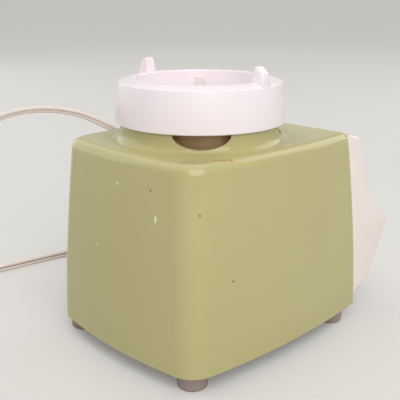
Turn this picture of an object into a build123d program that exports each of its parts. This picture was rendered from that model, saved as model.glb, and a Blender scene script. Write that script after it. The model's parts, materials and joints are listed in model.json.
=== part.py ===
from build123d import *
import math
import os

# Motor base of a countertop blender, with its jar lifted off. Millimetres, +Z up.
# The keys face -Y, and the cord leaves through the +X side.
# The origin is on the floor, under the middle of the base's outline. Most pieces are
# drawn in the drive frame, whose Z axis is the motor's and which lies drive_y behind it.

# Shell: a bowed plan that leans in towards the deck
foot_height = 11.0
deck_height = 147.0
base_half_width = 80.3
rear_reach = 84.5
front_reach = 95.2
shell_draft = 9.0
front_draft = 9.7
draft_curve = 1.5
widest_y = -13.7
side_bow_radius = 582.0
rear_bow_radius = 357.0
corner_radius = 19.3
shoulder_radius = 6.5
wall = 2.8
deck_wall = 3.0
loft_steps = 4

# Neck on the deck, with its air notches
neck_margin = 14.0
neck_blend = 6.0
neck_height = 18.0
neck_plate = 3.0
notch_half_width = 18.9
notch_depth = 9.1
notch_sill = 2.4
notch_angle = 43.0
notch_margin = 1.0
baffle_gap = 4.5
baffle_wall = 2.0
baffle_drop = 16.0

# Collar that takes the jar
collar_gap = 0.7
skirt_wall = 2.0
skirt_drop = 5.9
collar_taper = 2.6
rim_slope = 7.8
rim_width = 4.2
rim_drop = 2.5
collar_floor = 3.0
seat_depth = 21.5
seat_ring_rise = 2.8
seat_ring_margin = 3.0
collar_wall = 2.7
collar_edge = 0.8
drive_hole_radius = 14.0
lug_angle = 5.5
lug_width = 8.0
lug_rise = 10.4
lug_rake = 2.8
lug_flat = 1.8
lug_drop = 3.4
lug_lean = 3.8
lug_round = 0.8
collar_screw_inset = 7.4
collar_screw_count = 4
collar_screw_turn = 45.0

# Control panel: how far each corner stands ahead of the shell's front, and its height
brow_ahead = 6.8
brow_drop = 5.0
brow_round = 4.0
ledge_ahead = 21.1
ledge_height = 91.0
ledge_round = 3.0
nose_ahead = 46.3
nose_height = 70.7
nose_round = 4.0
chin_ahead = 18.6
chin_rise = 14.8
chin_round = 6.0
sill_rise = 8.8
panel_drop = 0.6
panel_wall = 2.6
window_inset = 26.8
window_rise = 19.0
window_drop = 13.0
panel_boss_radius = 4.0
panel_boss_margin = 6.5
panel_boss_inset = 4.0
wall_cut = 12.0

# Keys and the switch under them
key_count = 8
key_gap = 0.8
key_margin = 12.4
key_rise = 6.0
key_travel = 4.0
key_round = 1.6
key_side_gap = 0.4
key_seat_gap = 0.3
key_flange = 2.0
key_flange_lip = 1.5
stem_width = 5.0
stem_length = 8.0
stem_engage = 1.5
switch_clearance = 3.3
switch_side_gap = 1.0
switch_depth = 14.0
switch_post_radius = 4.2
switch_post_gap = 1.0
switch_end = 2.5
switch_end_gap = 1.0
switch_post_bite = 7.0

# Underside
plate_thickness = 2.5
plate_gap = 0.4
foot_radius = 10.3
foot_taper = 0.2
foot_round = 1.5
foot_stem_radius = 3.0
foot_head_radius = 4.2
foot_head = 2.5
rear_foot_side = 20.3
rear_foot_back = 19.4
front_foot_side = 16.3
front_foot_front = 17.3
plate_boss_x = 36.0
plate_boss_radius = 5.0
plate_boss_height = 16.0
plate_boss_reach = 3.9
vent_count = 12
vent_length = 20.0
vent_width = 4.0
vent_circle = 24.0

# Motor
shaft_radius = 4.0
fixed_gap = 0.02
running_gap = 0.04
fan_clearance = 4.5
fan_radius = 33.0
fan_height = 9.0
fan_disc = 2.0
fan_hub_radius = 9.0
fan_blades = 9
fan_blade = 1.8
fan_room = 5.0
bridge_width = 16.0
lower_plate = 4.0
lower_leg = 30.0
hub_radius = 9.5
hub_below = 1.0
hub_above = 5.0
bush_wall = 2.0
washer = 0.9
washer_radius = 7.0
commutator_radius = 11.0
armature_radius = 22.0
air_gap = 0.7
field_height = 32.0
field_width = 84.0
field_depth = 72.0
field_round = 6.0
pole_gap = 20.0
yoke = 8.7
side_yoke = 9.55
slot_count = 12
slot_width = 3.2
slot_depth = 7.0
slot_gap = 0.2
end_turn = 9.0
end_turn_inset = 1.6
end_turn_round = 3.0
coil_thickness = 9.0
coil_gap = 0.3
brush_width = 8.0
brush_height = 6.0
brush_length = 15.0
brush_gap = 0.25
brush_slide = 0.2
holder_wall = 1.8
holder_length = 21.0
holder_gap = 2.0
bolt_inset = 5.0
bolt_radius = 2.0
bolt_gap = 0.2
leg_radius = 5.0
mount_inset = 32.3
mount_post = 9.6
mount_post_radius = 6.0
rubber = 3.4
rubber_radius = 7.0
arm_width = 16.0
arm_turns = (45, 135)
upper_plate = 3.5
upper_hub_below = 6.0
upper_hub_above = 3.0
slinger_lap = 3.0
slinger_wall = 1.6
slinger_gap = 1.2
stud_width = 6.35
stud_turn = 26.0
stud_above_rim = 0.9
stud_base = 3.0
stud_base_radius = 7.0
stud_chamfer = 0.8

# Fasteners
screw_radius = 1.7
screw_head_radius = 3.2
screw_head = 2.2
screw_gap = 0.1
screw_hole_gap = 0.3
screw_bite = 8.0
screw_tip_gap = 1.0
hex_sides = 6
boss_radius = 4.5
seat_gap = 0.25

# Cord, its strain relief and its plug
cord_radius = 2.5
cord_floor_gap = 0.05
relief_y = -19.5
relief_drop = 16.0
relief_neck_radius = 5.0
relief_flange_radius = 8.0
relief_flange = 2.4
relief_length = 19.0
relief_tip_radius = 3.4
relief_gap = 0.05
relief_lead = 5.0
lead_radius = 1.6
lead_straight = 10.0
lead_spread = 20.0
supply_margin = 7.5
run_share = 0.45
cord_lead = 14.0
coil_turns = 2
coil_centre = (149.0, -78.0)
cord_coil_radius = 36.0
coil_pitch = 7.0
coil_rise = 5.6
coil_lead = 6.0
coil_tail = 34.0
coil_samples = 900
plug_length = 32.0
plug_width = 24.0
plug_height = 15.6
plug_round = 3.0
blade_spacing = 12.7
blade_length = 17.0
blade_root = 8.5
blade_width = 6.35
blade_thickness = 1.5

os.makedirs("parts", exist_ok=True)

# Heights worked out from the driving sizes
neck_top = deck_height + neck_height
plate_top = foot_height + plate_thickness
floor_top = neck_top + collar_floor
rim_height = floor_top + seat_depth
seat_top = floor_top + seat_ring_rise
deck_underside = deck_height - deck_wall
fan_bottom = plate_top + fan_clearance
lower_bottom = fan_bottom + fan_height + fan_room
lower_top = lower_bottom + lower_plate
field_bottom = lower_top + lower_leg
field_top = field_bottom + field_height
mount_top = deck_underside - mount_post
upper_top = mount_top - rubber
upper_bottom = upper_top - upper_plate
bush_top = lower_top + hub_above
commutator_bottom = bush_top + running_gap + washer
commutator_top = field_bottom - end_turn
brush_middle = (commutator_bottom + commutator_top) / 2
relief_height = deck_height - relief_drop

# Radii and reaches worked out from the driving sizes
neck_radius = base_half_width - shell_draft - neck_margin
neck_bore = neck_radius - wall
collar_bottom_radius = neck_radius + collar_gap + skirt_wall
collar_top_radius = collar_bottom_radius - collar_taper
rim_outer_radius = collar_top_radius - rim_slope
rim_inner_radius = rim_outer_radius - rim_width
notch_height = deck_height + notch_sill + notch_depth
notch_reach = math.sqrt(neck_bore**2 - notch_half_width**2) - notch_margin
baffle_radius = neck_bore - baffle_gap
bush_radius = shaft_radius + running_gap + bush_wall
pilot_radius = screw_radius + screw_gap
screw_hole_radius = screw_radius + screw_hole_gap
holder_start = commutator_radius + holder_gap
slinger_radius = drive_hole_radius + slinger_lap
collar_screw_circle = rim_inner_radius - collar_screw_inset
seat_inner_radius = slinger_radius + seat_ring_margin
seat_outer_radius = collar_screw_circle - screw_head_radius - seat_ring_margin

# Motor frame, worked out from the field's outline
bolt_circle = field_depth / 2 - bolt_inset
coil_half_width = field_depth / 2 - yoke - coil_gap
coil_offset = field_width / 2 - side_yoke - coil_gap - coil_thickness / 2
coil_pole = coil_half_width - coil_thickness
mount_spread = base_half_width - mount_inset


def lean(height):
    """Share of the full draft at a height: 0 at the shell's lower edge, 1 at the deck."""
    return max(0.0, (height - foot_height) / (deck_height - foot_height)) ** draft_curve


def front_face(height):
    """Y of the shell's front in the drive frame."""
    return front_draft * lean(height) - front_reach


def side_face(height, along):
    """X of the shell's +X side in the drive frame, at a height and a Y."""
    width = base_half_width - shell_draft * lean(height)
    return width - side_bow_radius + math.sqrt(side_bow_radius**2 - (along - widest_y) ** 2)


# Panel profile, drawn with the drive axis at 0: forwards is negative X, up is Y
panel_back = front_face(deck_height) + shell_draft
panel_top = deck_height - panel_drop
sill_height = foot_height + sill_rise
brow_point = (-front_reach - brow_ahead, deck_height - brow_drop)
ledge_point = (-front_reach - ledge_ahead, ledge_height)
nose_point = (-front_reach - nose_ahead, nose_height)
chin_point = (-front_reach - chin_ahead, foot_height + chin_rise)
with BuildSketch() as panel_profile:
    with BuildLine():
        Polyline(
            (panel_back, panel_top),
            (front_face(deck_height), panel_top),
            brow_point,
            ledge_point,
            nose_point,
            chin_point,
            (front_face(sill_height), sill_height),
            (panel_back, sill_height),
            close=True,
        )
    make_face()
    for point, radius in (
        (brow_point, brow_round),
        (ledge_point, ledge_round),
        (nose_point, nose_round),
        (chin_point, chin_round),
    ):
        fillet(panel_profile.vertices().sort_by_distance(point)[0], radius)

# Frames
nose_reach = -panel_profile.sketch.bounding_box().min.X
drive_y = (nose_reach - rear_reach) / 2
drive_floor = Plane((0, drive_y, 0))
drive_side = Plane((0, drive_y, 0), x_dir=(1, 0, 0), z_dir=(0, -1, 0))
panel_side = Plane((0, drive_y, 0), x_dir=(0, 1, 0), z_dir=(1, 0, 0))
drive_axis = Axis((0, drive_y, 0), (0, 0, 1))
ledge_slope = math.atan2(ledge_height - nose_height, nose_ahead - ledge_ahead)
ledge_length = math.hypot(ledge_height - nose_height, nose_ahead - ledge_ahead)
ledge_plane = Plane(
    (0, drive_y + (ledge_point[0] + nose_point[0]) / 2, (ledge_height + nose_height) / 2),
    x_dir=(1, 0, 0),
    z_dir=(0, -math.sin(ledge_slope), math.cos(ledge_slope)),
)


def shell_outline(height, inset):
    """Draw the shell's plan at a height, moved inwards by inset."""
    width = base_half_width - shell_draft * lean(height)
    rear = rear_reach - shell_draft * lean(height)
    with BuildSketch(drive_floor.offset(height)) as outline:
        with Locations((width - side_bow_radius, widest_y)):
            Circle(side_bow_radius - inset)
        with Locations((side_bow_radius - width, widest_y)):
            Circle(side_bow_radius - inset, mode=Mode.INTERSECT)
        with Locations((0, rear - rear_bow_radius)):
            Circle(rear_bow_radius - inset, mode=Mode.INTERSECT)
        with Locations((0, front_face(height) + inset)):
            Rectangle(
                2 * base_half_width,
                front_reach + rear_reach,
                align=(Align.CENTER, Align.MIN),
                mode=Mode.INTERSECT,
            )
        fillet(outline.vertices().group_by(Axis.Y)[-1], corner_radius - inset)
    return outline.sketch


def shell_block(inset, top, mode=Mode.ADD):
    """Loft the shell's plan from its lower edge up to a height."""
    rise = (top - foot_height) / loft_steps
    loft([shell_outline(foot_height + rise * step, inset) for step in range(loft_steps + 1)], mode=mode)


def rods(places, radius, bottom, top, mode=Mode.ADD):
    """Add upright rods at places in the drive frame between two heights."""
    with BuildSketch(drive_floor.offset(bottom)) as ends:
        with Locations(*places):
            Circle(radius)
    extrude(ends.sketch, amount=top - bottom, mode=mode)


def disc(radius, bottom, top, mode=Mode.ADD):
    """Add a round piece on the drive axis between two heights."""
    rods([(0, 0)], radius, bottom, top, mode)


def screw(seat, length, shank=screw_radius):
    """Add a screw whose head stands on the seat plane and whose shank runs below it."""
    with BuildSketch(seat) as head:
        Circle(screw_head_radius)
    extrude(head.sketch, amount=screw_head)
    with BuildSketch(seat) as thread:
        Circle(shank)
    extrude(thread.sketch, amount=-length)


def hole(seat, length, radius):
    """Cut a round hole below the seat plane."""
    with BuildSketch(seat) as mouth:
        Circle(radius)
    extrude(mouth.sketch, amount=-length, mode=Mode.SUBTRACT)


def ring_places(circle, count, start):
    """Places on a circle about the drive axis."""
    turns = [math.radians(start + 360 * index / count) for index in range(count)]
    return [(circle * math.cos(turn), circle * math.sin(turn)) for turn in turns]


def mirrored(along, across):
    """The four places at plus and minus X and Y."""
    return [(along, across), (-along, across), (-along, -across), (along, -across)]


# Places in the drive frame
mount_places = mirrored(mount_spread, mount_spread)
collar_screw_places = ring_places(collar_screw_circle, collar_screw_count, collar_screw_turn)
bolt_places = [(0, bolt_circle), (0, -bolt_circle)]
plate_boss_rear = rear_reach - wall - plate_boss_reach - plate_boss_x**2 / (2 * rear_bow_radius)
plate_boss_front = wall + plate_boss_reach - front_reach
plate_boss_places = [
    (side * plate_boss_x, along) for side in (-1, 1) for along in (plate_boss_rear, plate_boss_front)
]
foot_places = {
    "foot_rear_right": (base_half_width - rear_foot_side, rear_reach - rear_foot_back),
    "foot_rear_left": (rear_foot_side - base_half_width, rear_reach - rear_foot_back),
    "foot_front_right": (base_half_width - front_foot_side, front_foot_front - front_reach),
    "foot_front_left": (front_foot_side - base_half_width, front_foot_front - front_reach),
}
window_half_width = base_half_width - window_inset
window_bottom = foot_height + window_rise
window_top = deck_height - window_drop
panel_boss_places = [
    (side * (window_half_width + panel_boss_margin), height)
    for side in (-1, 1)
    for height in (window_bottom + panel_boss_inset, window_top - panel_boss_inset)
]
relief_wall = side_face(relief_height, relief_y)
relief_seat = side_face(relief_height - relief_flange_radius, relief_y) + relief_gap
relief_end = relief_seat + relief_flange + relief_length

# Housing shell: outer block, neck and hollow
with BuildPart() as shell_mass:
    shell_block(0, deck_height)

with BuildPart() as shell_bosses:
    rods(plate_boss_places, plate_boss_radius, plate_top, plate_top + plate_boss_height)
    rods(mount_places, mount_post_radius, mount_top, deck_height - deck_wall / 2)
    add(shell_mass.part, mode=Mode.INTERSECT)

with BuildPart() as shell:
    add(shell_mass.part)
    fillet(shell.faces().sort_by(Axis.Z)[-1].edges().sort_by(Axis.Y)[1:], shoulder_radius)
    disc(neck_radius, deck_underside, neck_top)
    neck_foot = shell.edges().filter_by(GeomType.CIRCLE).group_by(Axis.Z)[-2]
    fillet(neck_foot.sort_by(SortBy.RADIUS)[-1], neck_blend)
    shell_block(wall, deck_underside, mode=Mode.SUBTRACT)
    disc(neck_bore, deck_underside, neck_top - neck_plate, mode=Mode.SUBTRACT)
    disc(drive_hole_radius, neck_top - neck_plate, neck_top, mode=Mode.SUBTRACT)
    add(shell_bosses.part)
    rods(collar_screw_places, boss_radius, neck_top - neck_plate - screw_bite, neck_top - neck_plate)
    for turn in (notch_angle, 180 - notch_angle, 180 + notch_angle, -notch_angle):
        heading = Vector(1, 0, 0).rotate(Axis.Z, turn)
        notch_axis = Vector(0, drive_y, notch_height)
        notch_face = Plane(notch_axis + heading * notch_reach, x_dir=heading.rotate(Axis.Z, 90), z_dir=heading)
        with BuildSketch(notch_face):
            Ellipse(notch_half_width, notch_depth)
            Rectangle(2 * notch_half_width, neck_top - notch_height, align=(Align.CENTER, Align.MIN))
        extrude(amount=neck_radius, mode=Mode.SUBTRACT)
    with BuildSketch(panel_side):
        with Locations((-front_reach, window_bottom)):
            Rectangle(front_reach / 2, window_top - window_bottom, align=(Align.CENTER, Align.MIN))
    extrude(amount=window_half_width, both=True, mode=Mode.SUBTRACT)
    for along, height in panel_boss_places:
        middle = drive_y + front_face(height) + wall / 2
        hole(Plane((along, middle + wall_cut / 2, height), z_dir=(0, 1, 0)), wall_cut, screw_hole_radius)
    for along, across in plate_boss_places:
        seat = Plane((along, drive_y + across, plate_top), z_dir=(0, 0, -1))
        hole(seat, screw_bite + screw_tip_gap, pilot_radius)
    for along, across in mount_places:
        hole(Plane((along, drive_y + across, mount_top), z_dir=(0, 0, -1)), screw_bite, pilot_radius)
    for along, across in collar_screw_places:
        hole(Plane((along, drive_y + across, neck_top)), neck_plate + screw_bite, pilot_radius)
    relief_middle = (relief_wall - wall / 2 + wall_cut / 2, drive_y + relief_y, relief_height)
    hole(Plane(relief_middle, z_dir=(1, 0, 0)), wall_cut, relief_neck_radius + relief_gap)
shell.part.label = "housing_shell"
export_step(shell.part, "parts/housing_shell.step")

# Fibre baffle that hangs inside the neck, behind the air notches
with BuildPart() as baffle:
    baffle_top = neck_top - neck_plate
    disc(baffle_radius, baffle_top - baffle_drop, baffle_top)
    disc(baffle_radius - baffle_wall, baffle_top - baffle_drop, baffle_top, mode=Mode.SUBTRACT)
baffle.part.label = "neck_baffle"
export_step(baffle.part, "parts/neck_baffle.step")

# Jar collar: a hollow ring that stands on its floor plate, with two lugs on its rim
with BuildPart() as collar:
    with BuildSketch(drive_side):
        with BuildLine():
            Polyline(
                (rim_inner_radius + collar_wall, floor_top),
                (rim_inner_radius + collar_wall, rim_height - rim_drop - collar_wall),
                (collar_top_radius - collar_wall, rim_height - rim_drop - collar_wall),
                (neck_radius + collar_gap, neck_top + collar_gap),
                (neck_radius + collar_gap, neck_top - skirt_drop),
                (collar_bottom_radius, neck_top - skirt_drop),
                (collar_top_radius, rim_height - rim_drop),
                (rim_outer_radius, rim_height),
                (rim_inner_radius, rim_height),
                (rim_inner_radius, floor_top),
                close=True,
            )
        make_face()
    revolve(axis=drive_axis)
    outer_rings = collar.edges().filter_by(GeomType.CIRCLE).sort_by(SortBy.RADIUS)
    fillet(outer_rings[-1], collar_edge)
    fillet(collar.edges().group_by(Axis.Z)[-1], collar_edge)
    for turn in (lug_angle, 180 + lug_angle):
        outward = Vector(1, 0, 0).rotate(Axis.Z, turn)
        lug_plane = Plane((0, drive_y, 0), x_dir=outward, z_dir=outward.cross(Vector(0, 0, 1)))
        lug_inside = rim_inner_radius + collar_edge
        lug_foot = rim_height - rim_drop
        with BuildSketch(lug_plane) as lug:
            with BuildLine():
                Polyline(
                    (lug_inside, lug_foot),
                    (lug_inside, rim_height),
                    (lug_inside + lug_rake, rim_height + lug_rise),
                    (lug_inside + lug_rake + lug_flat, rim_height + lug_rise),
                    (collar_top_radius - lug_lean, rim_height + lug_rise - lug_drop),
                    (collar_top_radius, lug_foot),
                    close=True,
                )
            make_face()
            fillet(lug.vertices().group_by(Axis.Y)[1:], lug_round)
        extrude(amount=lug_width / 2, both=True)
collar.part.label = "jar_collar"
export_step(collar.part, "parts/jar_collar.step")

# Floor plate of the collar, screwed to the neck, with the raised ring that the jar sits on
with BuildPart() as floor_plate:
    disc(rim_inner_radius + collar_wall, neck_top, floor_top)
    disc(seat_outer_radius, floor_top, seat_top)
    disc(seat_inner_radius, floor_top, seat_top, mode=Mode.SUBTRACT)
    disc(drive_hole_radius, neck_top, floor_top, mode=Mode.SUBTRACT)
    for along, across in collar_screw_places:
        hole(Plane((along, drive_y + across, floor_top)), collar_floor, screw_hole_radius)
floor_plate.part.label = "collar_floor"
export_step(floor_plate.part, "parts/collar_floor.step")

with BuildPart() as collar_screws:
    for along, across in collar_screw_places:
        seat = Plane((along, drive_y + across, floor_top))
        screw(seat, collar_floor + neck_plate + screw_bite - screw_tip_gap)
collar_screws.part.label = "collar_screws"
export_step(collar_screws.part, "parts/collar_screws.step")


def panel_width(inset):
    """Loft a block whose ends follow the shell's sides where they meet the panel."""
    sections = []
    for step in range(loft_steps + 1):
        height = foot_height + (deck_height - foot_height) * step / loft_steps
        half_width = side_face(height, front_face(height)) - inset
        with BuildSketch(drive_floor.offset(height)) as section:
            with Locations((0, panel_back)):
                Rectangle(2 * half_width, front_reach, align=(Align.CENTER, Align.MAX))
        sections.append(section.sketch)
    loft(sections)


def panel_screw_reach(height):
    """Depth from the panel's back plane to the end of a screw's hole in its boss."""
    return panel_back - front_face(height) + screw_bite + screw_tip_gap


# Control panel: outer block, hollow, screw bosses and switch posts
switch_half_length = side_face(ledge_height, front_face(ledge_height)) - panel_wall - switch_end_gap
switch_post_x = switch_half_length - switch_end - switch_post_radius
key_pitch = 2 * (switch_post_x - switch_post_radius - switch_post_gap) / key_count
key_row = key_count * key_pitch - key_gap
key_length = ledge_length - key_margin
switch_width = key_length - switch_side_gap
flange_top = -panel_wall - key_seat_gap
flange_bottom = flange_top - key_flange
switch_top = flange_bottom - key_travel - switch_clearance
switch_bottom = switch_top - switch_depth

with BuildPart() as panel_block:
    panel_width(0)
    with BuildSketch(panel_side):
        add(panel_profile.sketch_local)
    extrude(amount=base_half_width, both=True, mode=Mode.INTERSECT)
    add(shell_mass.part, mode=Mode.SUBTRACT)

with BuildPart() as panel_hollow:
    panel_width(panel_wall)
    with BuildSketch(panel_side):
        add(panel_profile.sketch_local)
        offset(amount=-panel_wall, kind=Kind.INTERSECTION)
    extrude(amount=base_half_width, both=True, mode=Mode.INTERSECT)

with BuildPart() as panel_bosses:
    for along, height in panel_boss_places:
        with BuildSketch(Plane((along, drive_y + panel_back, height), z_dir=(0, -1, 0))):
            Circle(panel_boss_radius)
        extrude(amount=front_reach)
    for side in (-1, 1):
        with BuildSketch(ledge_plane.offset(switch_top)):
            with Locations((side * switch_post_x, 0)):
                Circle(switch_post_radius)
        extrude(amount=-switch_top - panel_wall / 2)
    add(panel_block.part, mode=Mode.INTERSECT)

with BuildPart() as panel:
    add(panel_block.part)
    add(panel_hollow.part, mode=Mode.SUBTRACT)
    add(panel_bosses.part)
    with BuildSketch(ledge_plane.offset(panel_wall)):
        Rectangle(key_row + 2 * key_side_gap, key_length + 2 * key_side_gap)
    extrude(amount=-2 * panel_wall - key_seat_gap, mode=Mode.SUBTRACT)
    for along, height in panel_boss_places:
        seat = Plane((along, drive_y + panel_back, height), z_dir=(0, 1, 0))
        hole(seat, panel_screw_reach(height), pilot_radius)
    for side in (-1, 1):
        post_end = ledge_plane.from_local_coords((side * switch_post_x, 0, switch_top))
        hole(Plane(post_end, z_dir=-ledge_plane.z_dir), switch_post_bite, pilot_radius)
panel.part.label = "control_panel"
export_step(panel.part, "parts/control_panel.step")

with BuildPart() as panel_screws:
    for along, height in panel_boss_places:
        inner_face = front_face(height) + wall + seat_gap
        seat = Plane((along, drive_y + inner_face, height), z_dir=(0, 1, 0))
        screw(seat, wall + screw_bite)
panel_screws.part.label = "panel_screws"
export_step(panel_screws.part, "parts/panel_screws.step")

# Piano keys: a rounded cap in the ledge's window, a flange that stops it and a stem
for index in range(key_count):
    key_x = key_pitch * (index - (key_count - 1) / 2)
    with BuildPart() as key:
        with BuildSketch(ledge_plane.offset(flange_top)):
            with Locations((key_x, 0)):
                Rectangle(key_pitch - key_gap, key_length)
        extrude(amount=key_rise - flange_top)
        fillet(key.faces().sort_by(Axis(ledge_plane.origin, ledge_plane.z_dir))[-1].edges(), key_round)
        with BuildSketch(ledge_plane.offset(flange_bottom)):
            with Locations((key_x, 0)):
                Rectangle(key_pitch - key_gap, key_length + 2 * key_side_gap + 2 * key_flange_lip)
        extrude(amount=key_flange)
        with BuildSketch(ledge_plane.offset(switch_top - stem_engage)):
            with Locations((key_x, 0)):
                Rectangle(stem_width, stem_length)
        extrude(amount=flange_bottom - switch_top + stem_engage)
    key.part.label = f"key_{index + 1}"
    export_step(key.part, f"parts/key_{index + 1}.step")

with BuildPart() as switch:
    with BuildSketch(ledge_plane.offset(switch_bottom)):
        Rectangle(2 * switch_half_length, switch_width)
    extrude(amount=switch_depth)
    with BuildSketch(ledge_plane.offset(switch_top)):
        with GridLocations(key_pitch, 1, key_count, 1):
            Rectangle(stem_width + 2 * key_side_gap, stem_length + 2 * key_side_gap)
    extrude(amount=-stem_engage - key_travel - key_seat_gap, mode=Mode.SUBTRACT)
    for side in (-1, 1):
        ear = ledge_plane.from_local_coords((side * switch_post_x, 0, switch_top))
        hole(Plane(ear, z_dir=ledge_plane.z_dir), switch_depth, screw_hole_radius)
switch.part.label = "switch_block"
export_step(switch.part, "parts/switch_block.step")

with BuildPart() as switch_screws:
    for side in (-1, 1):
        ear = ledge_plane.from_local_coords((side * switch_post_x, 0, switch_bottom))
        screw(Plane(ear, z_dir=-ledge_plane.z_dir), switch_depth + switch_post_bite - screw_tip_gap)
switch_screws.part.label = "switch_screws"
export_step(switch_screws.part, "parts/switch_screws.step")

# Bottom plate, with its ring of air slots under the fan, and its screws
with BuildPart() as plate:
    extrude(shell_outline(foot_height, wall + plate_gap), amount=plate_thickness)
    with BuildSketch(drive_floor.offset(foot_height)):
        with PolarLocations(vent_circle, vent_count):
            SlotOverall(vent_length, vent_width)
    extrude(amount=plate_thickness, mode=Mode.SUBTRACT)
    rods(plate_boss_places, screw_hole_radius, foot_height, plate_top, mode=Mode.SUBTRACT)
    rods(foot_places.values(), foot_stem_radius + fixed_gap, foot_height, plate_top, mode=Mode.SUBTRACT)
plate.part.label = "bottom_plate"
export_step(plate.part, "parts/bottom_plate.step")

with BuildPart() as plate_screws:
    for along, across in plate_boss_places:
        screw(Plane((along, drive_y + across, foot_height), z_dir=(0, 0, -1)), plate_thickness + screw_bite)
plate_screws.part.label = "plate_screws"
export_step(plate_screws.part, "parts/plate_screws.step")

# Rubber feet, pushed into the bottom plate
for foot_name, (along, across) in foot_places.items():
    foot_plane = Plane((along, drive_y + across, 0))
    with BuildPart() as foot:
        with BuildSketch(foot_plane):
            Circle(foot_radius - foot_taper)
        with BuildSketch(foot_plane.offset(foot_height)):
            Circle(foot_radius)
        loft()
        fillet(foot.edges().group_by(Axis.Z)[0], foot_round)
        rods([(along, across)], foot_stem_radius, foot_height, plate_top + fixed_gap)
        rods([(along, across)], foot_head_radius, plate_top + fixed_gap, plate_top + fixed_gap + foot_head)
    foot.part.label = foot_name
    export_step(foot.part, f"parts/{foot_name}.step")

# Field: laminated frame and its two coils, which stand through the frame's slots
with BuildPart() as field_stack:
    with BuildSketch(drive_floor.offset(field_bottom)):
        RectangleRounded(field_width, field_depth, field_round)
        Circle(armature_radius + air_gap, mode=Mode.SUBTRACT)
        Rectangle(pole_gap, field_depth - 2 * yoke, mode=Mode.SUBTRACT)
        with GridLocations(2 * coil_offset, 2 * coil_half_width - coil_thickness, 2, 2):
            Rectangle(coil_thickness + 2 * coil_gap, coil_thickness + 2 * coil_gap, mode=Mode.SUBTRACT)
        with Locations(*bolt_places):
            Circle(bolt_radius + bolt_gap, mode=Mode.SUBTRACT)
    extrude(amount=field_height)
field_stack.part.label = "field_stack"
export_step(field_stack.part, "parts/field_stack.step")

with BuildPart() as field_coils:
    for side in (-1, 1):
        pole = (side * coil_offset, drive_y, (field_bottom + field_top) / 2)
        inner_height = field_height + 2 * coil_gap
        with BuildSketch(Plane(pole, x_dir=(0, 1, 0), z_dir=(1, 0, 0))):
            RectangleRounded(2 * coil_half_width, inner_height + 2 * coil_thickness, coil_thickness / 2)
            Rectangle(2 * coil_pole, inner_height, mode=Mode.SUBTRACT)
        extrude(amount=coil_thickness / 2, both=True)
field_coils.part.label = "field_coils"
export_step(field_coils.part, "parts/field_coils.step")

# Lower bearing bracket: a cross that carries the bush, the brush holders and the field
brush_bottom = brush_middle - brush_height / 2 - brush_slide - holder_wall
with BuildPart() as lower_bracket:
    with BuildSketch(drive_floor.offset(lower_bottom)):
        Rectangle(2 * (holder_start + holder_length), bridge_width)
        Rectangle(bridge_width, 2 * (bolt_circle + leg_radius))
        Circle(bridge_width)
    extrude(amount=lower_plate)
    disc(hub_radius, lower_bottom - hub_below, bush_top)
    rods(bolt_places, leg_radius, lower_top, field_bottom)
    with BuildSketch(drive_floor.offset(lower_top)):
        with GridLocations(2 * holder_start + holder_length + holder_wall, 1, 2, 1):
            Rectangle(holder_length - holder_wall, brush_width)
    extrude(amount=brush_bottom - lower_top)
    disc(bush_radius + fixed_gap, lower_bottom - hub_below, bush_top, mode=Mode.SUBTRACT)
    rods(bolt_places, bolt_radius + bolt_gap, lower_bottom, field_bottom, mode=Mode.SUBTRACT)
lower_bracket.part.label = "lower_bracket"
export_step(lower_bracket.part, "parts/lower_bracket.step")

# Upper bearing bracket: four arms to the rubber mounts and two legs on the field
with BuildPart() as upper_bracket:
    with BuildSketch(drive_floor.offset(upper_bottom)):
        for turn in arm_turns:
            SlotCenterToCenter(2 * math.sqrt(2) * mount_spread, arm_width, rotation=turn)
        Rectangle(bridge_width, 2 * (bolt_circle + leg_radius))
    extrude(amount=upper_plate)
    disc(hub_radius, upper_bottom - upper_hub_below, upper_top + upper_hub_above)
    rods(bolt_places, leg_radius, field_top, upper_bottom)
    upper_bush_bottom = upper_bottom - upper_hub_below
    upper_bush_top = upper_top + upper_hub_above
    disc(bush_radius + fixed_gap, upper_bush_bottom, upper_bush_top, mode=Mode.SUBTRACT)
    rods(bolt_places, bolt_radius + bolt_gap, field_top, upper_top, mode=Mode.SUBTRACT)
    rods(mount_places, screw_hole_radius, upper_bottom, upper_top, mode=Mode.SUBTRACT)
upper_bracket.part.label = "upper_bracket"
export_step(upper_bracket.part, "parts/upper_bracket.step")

for bush_name, bottom, top in (
    ("lower_bush", lower_bottom - hub_below, bush_top),
    ("upper_bush", upper_bush_bottom, upper_bush_top),
):
    with BuildPart() as bush:
        disc(bush_radius, bottom, top)
        disc(shaft_radius + running_gap, bottom, top, mode=Mode.SUBTRACT)
    bush.part.label = bush_name
    export_step(bush.part, f"parts/{bush_name}.step")

with BuildPart() as through_bolts:
    rods(bolt_places, bolt_radius, lower_bottom - screw_head, upper_top)
    with BuildSketch(drive_floor.offset(upper_top)):
        with Locations(*bolt_places):
            RegularPolygon(screw_head_radius, hex_sides)
    extrude(amount=screw_head)
    with BuildSketch(drive_floor.offset(lower_bottom)):
        with Locations(*bolt_places):
            RegularPolygon(screw_head_radius, hex_sides)
    extrude(amount=-screw_head)
through_bolts.part.label = "through_bolts"
export_step(through_bolts.part, "parts/through_bolts.step")

with BuildPart() as rubber_mounts:
    rods(mount_places, rubber_radius, upper_top, mount_top)
    rods(mount_places, screw_hole_radius, upper_top, mount_top, mode=Mode.SUBTRACT)
rubber_mounts.part.label = "rubber_mounts"
export_step(rubber_mounts.part, "parts/rubber_mounts.step")

with BuildPart() as mount_screws:
    for along, across in mount_places:
        seat = Plane((along, drive_y + across, upper_bottom), z_dir=(0, 0, -1))
        screw(seat, upper_plate + rubber + screw_bite - screw_tip_gap)
mount_screws.part.label = "mount_screws"
export_step(mount_screws.part, "parts/mount_screws.step")

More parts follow.
